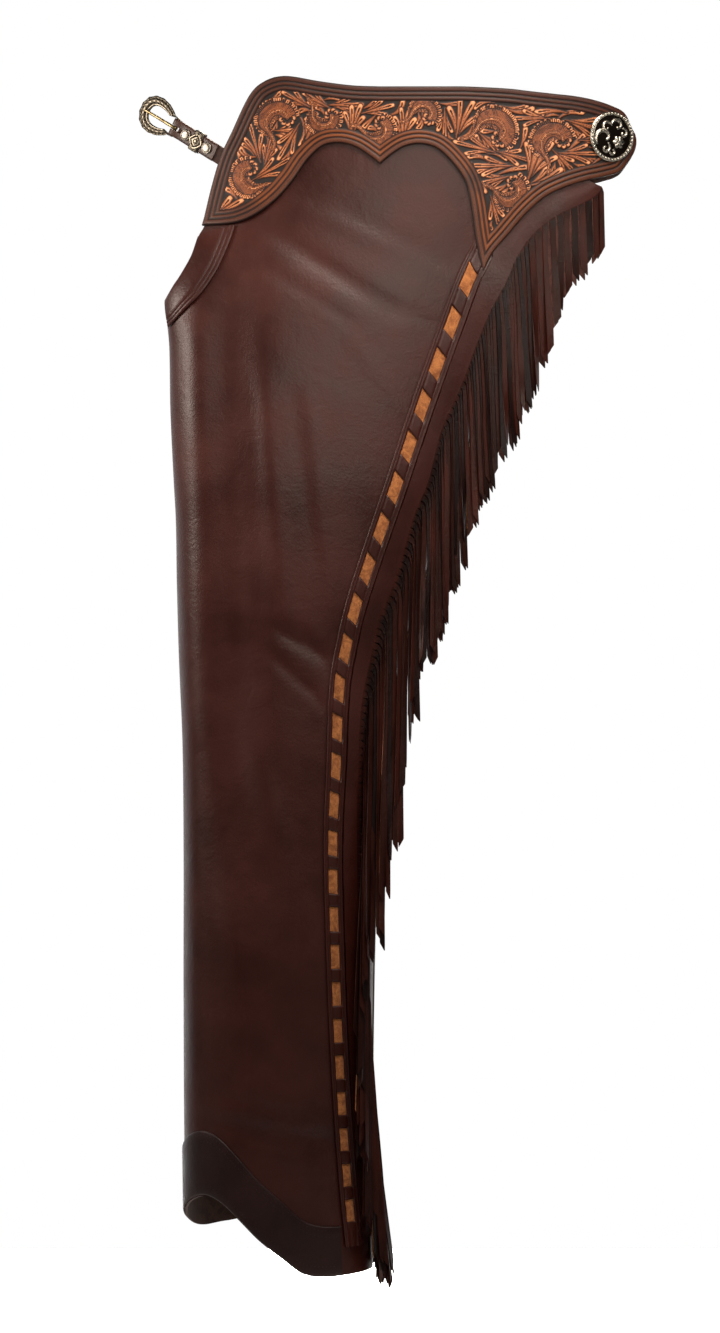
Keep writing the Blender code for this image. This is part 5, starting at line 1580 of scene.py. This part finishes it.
piece = makeProng()
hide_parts("buckle_prong")


def makeStrapFittings():
    top = strap["ply"] + 0.5
    for number, x in enumerate(strap["screws"], 1):
        profile = ((1.0, top), (1.0, top + 0.9), (0.94, top + 1.2), (0.84, top + 1.3), (0.80, top + 1.15),
                   (0.74, top + 1.3), (0.45, top + 1.48), (0.18, top + 1.5))
        rings = [circle(strap["screwRadius"] * r, z, 32, (x, 0.0)) for r, z in profile]
        verts, faces = stacked(rings)
        piece = makePiece(f"capScrew_{number}", strapSeat.put(verts), faces, [silver], sharp=50)
        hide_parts(f"strap_screw_{number}")
    half, low = strap["width"] / 2 + 0.5, -strap["ply"] - 0.5
    section = ((-5.5, 0.0), (-5.0, 0.9), (-3.4, 1.25), (-1.6, 1.1), (0, 1.3), (1.6, 1.1), (3.4, 1.25),
               (5.0, 0.9), (5.5, 0.0))
    rings = []
    for y, z, first in ((half, top, 0), (-half, top, 90), (-half, low, 180), (half, low, 270)):
        for turn in np.radians((first, first + 45, first + 90)):
            rings.append([(strap["keeper"] + x, y + cos(turn) * d, z + sin(turn) * d)
                          for x, d in section])
    loop = stacked(rings, closed=True)
    # the plate on the loop stands on its corner and is cut with a small rosette: size, height and tone
    plate, tones, tilt = [], [0.55] * len(loop[0]), radians(45)
    for scale, z, tone in ((1.0, 0.6, 0.2), (1.0, 1.3, 0.8), (0.93, 1.75, 1.0), (0.80, 1.75, 0.9),
                           (0.74, 1.5, 0.0), (0.64, 1.5, 0.0), (0.5, 1.95, 0.95), (0.30, 1.6, 0.0),
                           (0.14, 2.1, 1.0)):
        ring = []
        for k in range(40):
            a = 2 * pi * k / 40
            reach = 6.6 * scale / (abs(cos(a)) ** 4 + abs(sin(a)) ** 4) ** 0.25
            reach *= 1 - (0.10 * abs(sin(4 * a)) if 0.2 < scale < 0.78 else 0)
            ring.append((strap["keeper"] + reach * cos(a + tilt), reach * sin(a + tilt), top + z))
        plate.append(ring)
        tones += [tone] * len(ring)
    verts, faces = joined([loop, stacked(plate)])
    piece = makePiece("engravedKeeper", strapSeat.put(verts), faces, [buckleSilver], attributes={"tone": tones},
                      sharp=50)
    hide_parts("strap_keeper")


makeStrapFittings()
print("front strap made")


# billet strap inside the right yoke, with punched holes
billet = {"exit": (-160.0, 22.0), "long": 200.0, "turn": 84.0, "holes": 5, "hole": 4.2, "pitch": 20.0}


def makeBillet():
    x, drop = billet["exit"]
    angle = float(angleOf(x, drop))
    normal = normalAt(angle, drop).copy()
    base = skin(angle, drop, -leg["wall"] - 2.6)
    normal[2] = 0.0
    seat = Seat(base, (normal[1], -normal[0], 0.0), normal)
    turn, long = radians(billet["turn"]), billet["long"]
    first = long * 0.42
    marks = list(np.linspace(-8, first - 4, 12))
    punched = []
    for hole in first + billet["pitch"] * np.arange(billet["holes"]):
        punched.append(len(marks))
        marks += [hole, hole + billet["hole"], hole + billet["hole"] + 7.0]
    marks += [long - 12.0, long - 5.0, long - 1.5, long]
    half = strap["width"] / 2
    side = np.array((half, half - 0.5, half - 2.2, billet["hole"] / 2))
    ws = np.concatenate([-side, side[::-1]])
    low = np.array((0.5, 0.1, 0, 0, 0, 0, 0.1, 0.5))
    outer, inner = [], []
    for mark in marks:
        past = min(mark + 8, long - mark)
        narrow = 1.0 if past > 8 else sqrt(max(0.08, 1 - ((8 - past) / 8.6) ** 2))
        row = [(cos(turn) * mark - sin(turn) * w * narrow,
                sin(turn) * mark + cos(turn) * w * narrow) for w in ws]
        outer.append([(px, py, -d) for (px, py), d in zip(row, low)])
        inner.append([(px, py, -2 * strap["ply"] + d) for (px, py), d in zip(row, low)])
    keep = np.ones((len(marks) - 1, len(ws) - 1), bool)
    keep[punched, 3] = False
    verts, faces, layer = closedSheet(seat.put(outer), seat.put(inner), keep)
    verts = verts * (1, -1, 1)
    faces = outwardSheet(verts, faces, layer, seat.axes[2] * (1, -1, 1))
    return makePiece("billetLeather", verts, faces, [strapLeather], sharp=50)


piece = makeBillet()
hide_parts("billet_strap")

# strap that joins the two yokes behind the waist
backTie = {
    "line": (
        (148, -60.5), (158, -56), (168, -50), (176, -40), (181, -26), (184, -10), (184, 10), (181, 26), (176, 40),
        (168, 50), (158, 56), (148, 60.5)),
    "thick": 2.4,
    # height of each row, and how far the outer face is set back there
    "profile": (
        (-17.0, 0.7), (-16.5, 0.2), (-15.6, 0.0), (-13.8, 0.0), (-13.2, 0.35), (-9, 0.05), (0, 0.05), (4.2, 0.35),
        (4.8, 0.0), (6.6, 0.0), (7.5, 0.2), (8.0, 0.7)),
}


def makeBackTie():
    line = alongLine(backTie["line"], np.linspace(0, 1, 60))
    run = np.gradient(line, axis=0)
    run /= np.linalg.norm(run, axis=1, keepdims=True)
    heights, low = (np.array(column)[None, :] for column in zip(*backTie["profile"]))
    setBack = lambda deep: np.stack([line[:, :1] - run[:, 1:] * deep, line[:, 1:] + run[:, :1] * deep,
                                     heights + 0 * line[:, :1]], axis=-1)
    verts, faces, layer = closedSheet(setBack(low), setBack(backTie["thick"] + 0 * low))
    faces = outwardSheet(verts, faces, layer, np.array((0.5, -1.0, 0.0)))
    piece = makePiece("backTieLeather", verts, faces, [strapLeather, fleshSide],
                      faceMaterial=(layer == 1).astype(int), sharp=50)
    rows = []
    for z in (-13.5, 4.5):
        places = np.column_stack([line, np.full(len(line), z)])[3:-3]
        normals = np.column_stack([run[:, 1], -run[:, 0], np.zeros(len(line))])[3:-3]
        rows.append(stitchRow((places, normals), -0.3))
    makePiece("backTieThread", *joined(rows), [waxedThread])
    return piece


piece = makeBackTie()
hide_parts("back_tie")
print("straps made")


# ---- zip down the back of each leg: woven tape, metal teeth, slider and pull tab
zipper = {"pitch": 3.4, "toothHalf": 2.1, "toothThick": 1.5, "sliderRise": 26.0, "arch": 4.0}


def makeZipTape():
    edge = zipAngle - 1.0
    half = ((0.3, 0.9), (2.2, 0.9), (2.6, 0.2), (edge * 0.5, 0.25), (edge * 0.8, 0.35), (edge, 0.0))
    columns = tuple((-angle, raised) for angle, raised in half[::-1]) + half
    top, bottom = outline["rear"][0][1] + 3, smoothPairs(outline["hem"], 0) - 6
    drops = np.linspace(bottom, top, 70)
    outer = np.stack([skin(angle, drops, raised - 0.6) for angle, raised in columns])
    inner = np.stack([skin(angle, drops, -1.7) for angle, _ in columns])
    verts, faces, layer = closedSheet(outer, inner)
    faces = outwardSheet(verts, faces, layer, np.array((1.0, 0.0, 0.0)))
    pieces = makePair("zipTape", verts, faces, [zipCloth], sharp=50)
    teeth = []
    marks = np.arange(top + 6, bottom - 4, zipper["pitch"] / 2)
    places, normals = onSkin(np.zeros(len(marks)), marks)
    long, thick = zipper["toothHalf"], zipper["toothThick"] / 2
    for k, (at, normal) in enumerate(zip(places, normals)):
        shift = 0.85 if k % 2 else -0.85
        rings = [[(shift + x * long * wide, y * thick * deep, z) for x, y in chamfered(0.6, 0.7)]
                 for wide, deep, z in ((0.72, 1.0, 0.0), (0.72, 1.0, 0.75), (0.6, 0.7, 1.0))]
        verts, faces = stacked(rings)
        teeth.append((Seat(at, (0, 1, 0), normal).put(verts), faces))
    makePair("zipTeeth", *joined(teeth), [antiqueBrass], sharp=40)
    return pieces


for side, piece in makeZipTape().items():
    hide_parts(f"zip_{side}")


def sliderSeat():
    drop = smoothPairs(outline["hem"], 0) - zipper["sliderRise"]
    return Seat(skin(0.0, float(drop), 1.0), (0, 1, 0), normalAt(0.0, float(drop)))


def makeZipSlider():
    seat, arch = sliderSeat(), zipper["arch"]
    body = []
    for z, grow in ((0.4, 0.0), (0.7, 0.25), (2.6, 0.25), (3.0, 0.0), (3.2, -0.5)):
        body.append([(x * (4.2 + grow) * (1.0 if y > 0 else 0.8), y * (6.7 + grow), z)
                     for x, y in chamfered(0.8, 0.8)])
    outside = ((-arch - 1.2, 2.6), (-arch - 1.2, 5.4), (-arch + 0.6, 7.4), (arch - 0.6, 7.4), (arch + 1.2, 5.4),
               (arch + 1.2, 2.6))
    inside = ((-arch, 2.6), (-arch, 5.0), (-arch + 1.0, 6.2), (arch - 1.0, 6.2), (arch, 5.0), (arch, 2.6))
    bow = [[(x, *place) for x, place in ((-1.2, o), (1.2, o), (1.2, i), (-1.2, i))]
           for o, i in zip(outside, inside)]
    verts, faces = joined([stacked(body), stacked(bow)])
    return makePair("zipSlider", seat.put(verts), faces, [antiqueBrass], sharp=40)


for side, piece in makeZipSlider().items():
    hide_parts(f"zip_slider_{side}")


def makeZipPull():
    seat, height = sliderSeat(), 4.6
    xs = np.array((-4.2, -3.8, -1.9, 1.9, 3.8, 4.2))
    ys = np.array((0.6, 0.4, -0.6, -7.0, -8.0, -14.0, -20.0, -25.2, -26.0))
    x, y = np.meshgrid(xs, ys, indexing="ij")
    narrow = np.where(y > -8.5, 1.0, 0.86 + 0.14 * ((-20 < y) & (y < -12)))
    thick = np.where((abs(x) > 4) | (y > 0.5) | (y < -25.5), 0.35, 0.6)
    front, back = (seat.put(np.stack([x * narrow, y, height + thick * face], axis=-1)) for face in (1, -1))
    keep = np.ones((len(xs) - 1, len(ys) - 1), bool)
    keep[2, 2] = False
    verts, faces, layer = closedSheet(front, back, keep)
    faces = outwardSheet(verts, faces, layer, seat.axes[2])
    bodies = {"left": "pull_left", "right": "pull_right"}
    return makePair("zipPullTab", verts, faces, [antiqueBrass], bodies=bodies, sharp=30)


for side, piece in makeZipPull().items():
    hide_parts(f"zip_pull_{side}")
print("zips made")


# ---- floor, light and camera
stageSet = {
    "floorZ": -1.16, "floorFront": -5.0, "floorBack": 3.4, "floorSide": 5.0,
    "cameraMm": 12000.0, "framePixels": (720, 1333), "originPixel": (420, 130), "mmPerPixel": 0.9,
    "frontLow": 0.0, "frontHigh": 0.07, "lightColour": "#FFF1E4",
    # name, place, aim, size, power and spread in degrees
    "lights": (("sideLight", (-1.20, -0.32, 0.05), (-0.2, 0, -0.30), 0.5, 2.6, 80),
               ("topLight", (0.20, -0.80, 0.90), (0.0, 0, -0.10), 0.6, 4.7, 90),
               ("frontLight", (0.0, -0.95, 0.05), (0.0, 0, -0.15), 0.5, 1.1, 120),
               ("rightLight", (0.85, -0.95, 0.25), (0.05, 0, -0.10), 0.35, 0.55, 70),
               ("backLight", (0.5, 1.6, 0.6), (0.0, 0, -0.40), 0.8, 9.0, 90),
               ("floorLight", (0.0, 2.9, 2.6), (0, 2.9, -1.16), 2.4, 130, 30)),
}


def makeStage():
    mesh = bpy.data.meshes.new("studioFloor")
    side, front, back, low = (stageSet[key] for key in ("floorSide", "floorFront", "floorBack", "floorZ"))
    mesh.from_pydata([(-side, front, low), (side, front, low), (side, back, low), (-side, back, low)], [],
                     [(0, 1, 2, 3)])
    floor = bpy.data.objects.new("studioFloor", mesh)
    bpy.context.scene.collection.objects.link(floor)
    material, tree, shader = plain("matte_white_paint", "#FAFAF8", 0.9)
    shader.inputs["Emission Color"].default_value = linear("#FAFAF8")
    seen = addNode(tree, "ShaderNodeLightPath").outputs["Is Camera Ray"]
    tree.links.new(seen, shader.inputs["Emission Strength"])
    mesh.materials.append(material)
    makeAir()
    for name, place, aim, size, power, spread in stageSet["lights"]:
        light = bpy.data.lights.new(name, "AREA")
        light.size = size
        light.energy = power
        light.spread = radians(spread)
        light.color = linear(stageSet["lightColour"] if spread > 40 else "#FFFFFF")[:3]
        lamp = bpy.data.objects.new(name, light)
        lamp.location = place
        lamp.rotation_mode = "QUATERNION"
        lamp.rotation_quaternion = (Vector(aim) - Vector(place)).to_track_quat("-Z", "Y")
        bpy.context.scene.collection.objects.link(lamp)


def makeAir():
    # a white studio, whose reflections are white behind the piece and dim in front of it
    world = bpy.data.worlds.new("studioAir")
    world.use_nodes = True
    tree = world.node_tree
    way = addNode(tree, "ShaderNodeTexCoord").outputs["Generated"]
    parts = addNode(tree, "ShaderNodeSeparateXYZ", {}, {"Vector": way})
    white = linear("#FFFFFF")
    behind = ranged(tree, parts.outputs["Y"], 0.0, 1.0, 0.35, 0.75)
    low = ranged(tree, parts.outputs["Z"], 0.0, 1.0, 0.55, 0.40)
    wall = maths(tree, "MULTIPLY", behind, low)
    above = ranged(tree, parts.outputs["Z"], stageSet["frontLow"], stageSet["frontHigh"], -0.3, 0.9)
    seen = addNode(tree, "ShaderNodeLightPath").outputs["Is Camera Ray"]
    air = blended(tree, seen, blended(tree, wall, above, white), white)
    tree.links.new(air, tree.nodes["Background"].inputs["Color"])
    bpy.context.scene.world = world


def makeCamera():
    camera = bpy.data.objects.new("camera", bpy.data.cameras.new("camera"))
    wide, high = stageSet["framePixels"]
    left, top = stageSet["originPixel"]
    scale = stageSet["mmPerPixel"] * mm
    centre = Vector(((wide / 2 - left) * scale, 0, (top - high / 2) * scale))
    away = stageSet["cameraMm"] * mm
    camera.location = centre - Vector((0, away, 0))
    camera.rotation_euler = (radians(90), 0, 0)
    camera.data.sensor_width = 36
    nearPlane = away - 0.085              # distance to the near leg's silhouette
    camera.data.lens = 36 * nearPlane / (high * scale)
    bpy.context.scene.collection.objects.link(camera)
    bpy.context.scene.camera = camera


makeStage()
makeCamera()
bpy.context.scene.view_settings.view_transform = "Standard"
print("stage made")
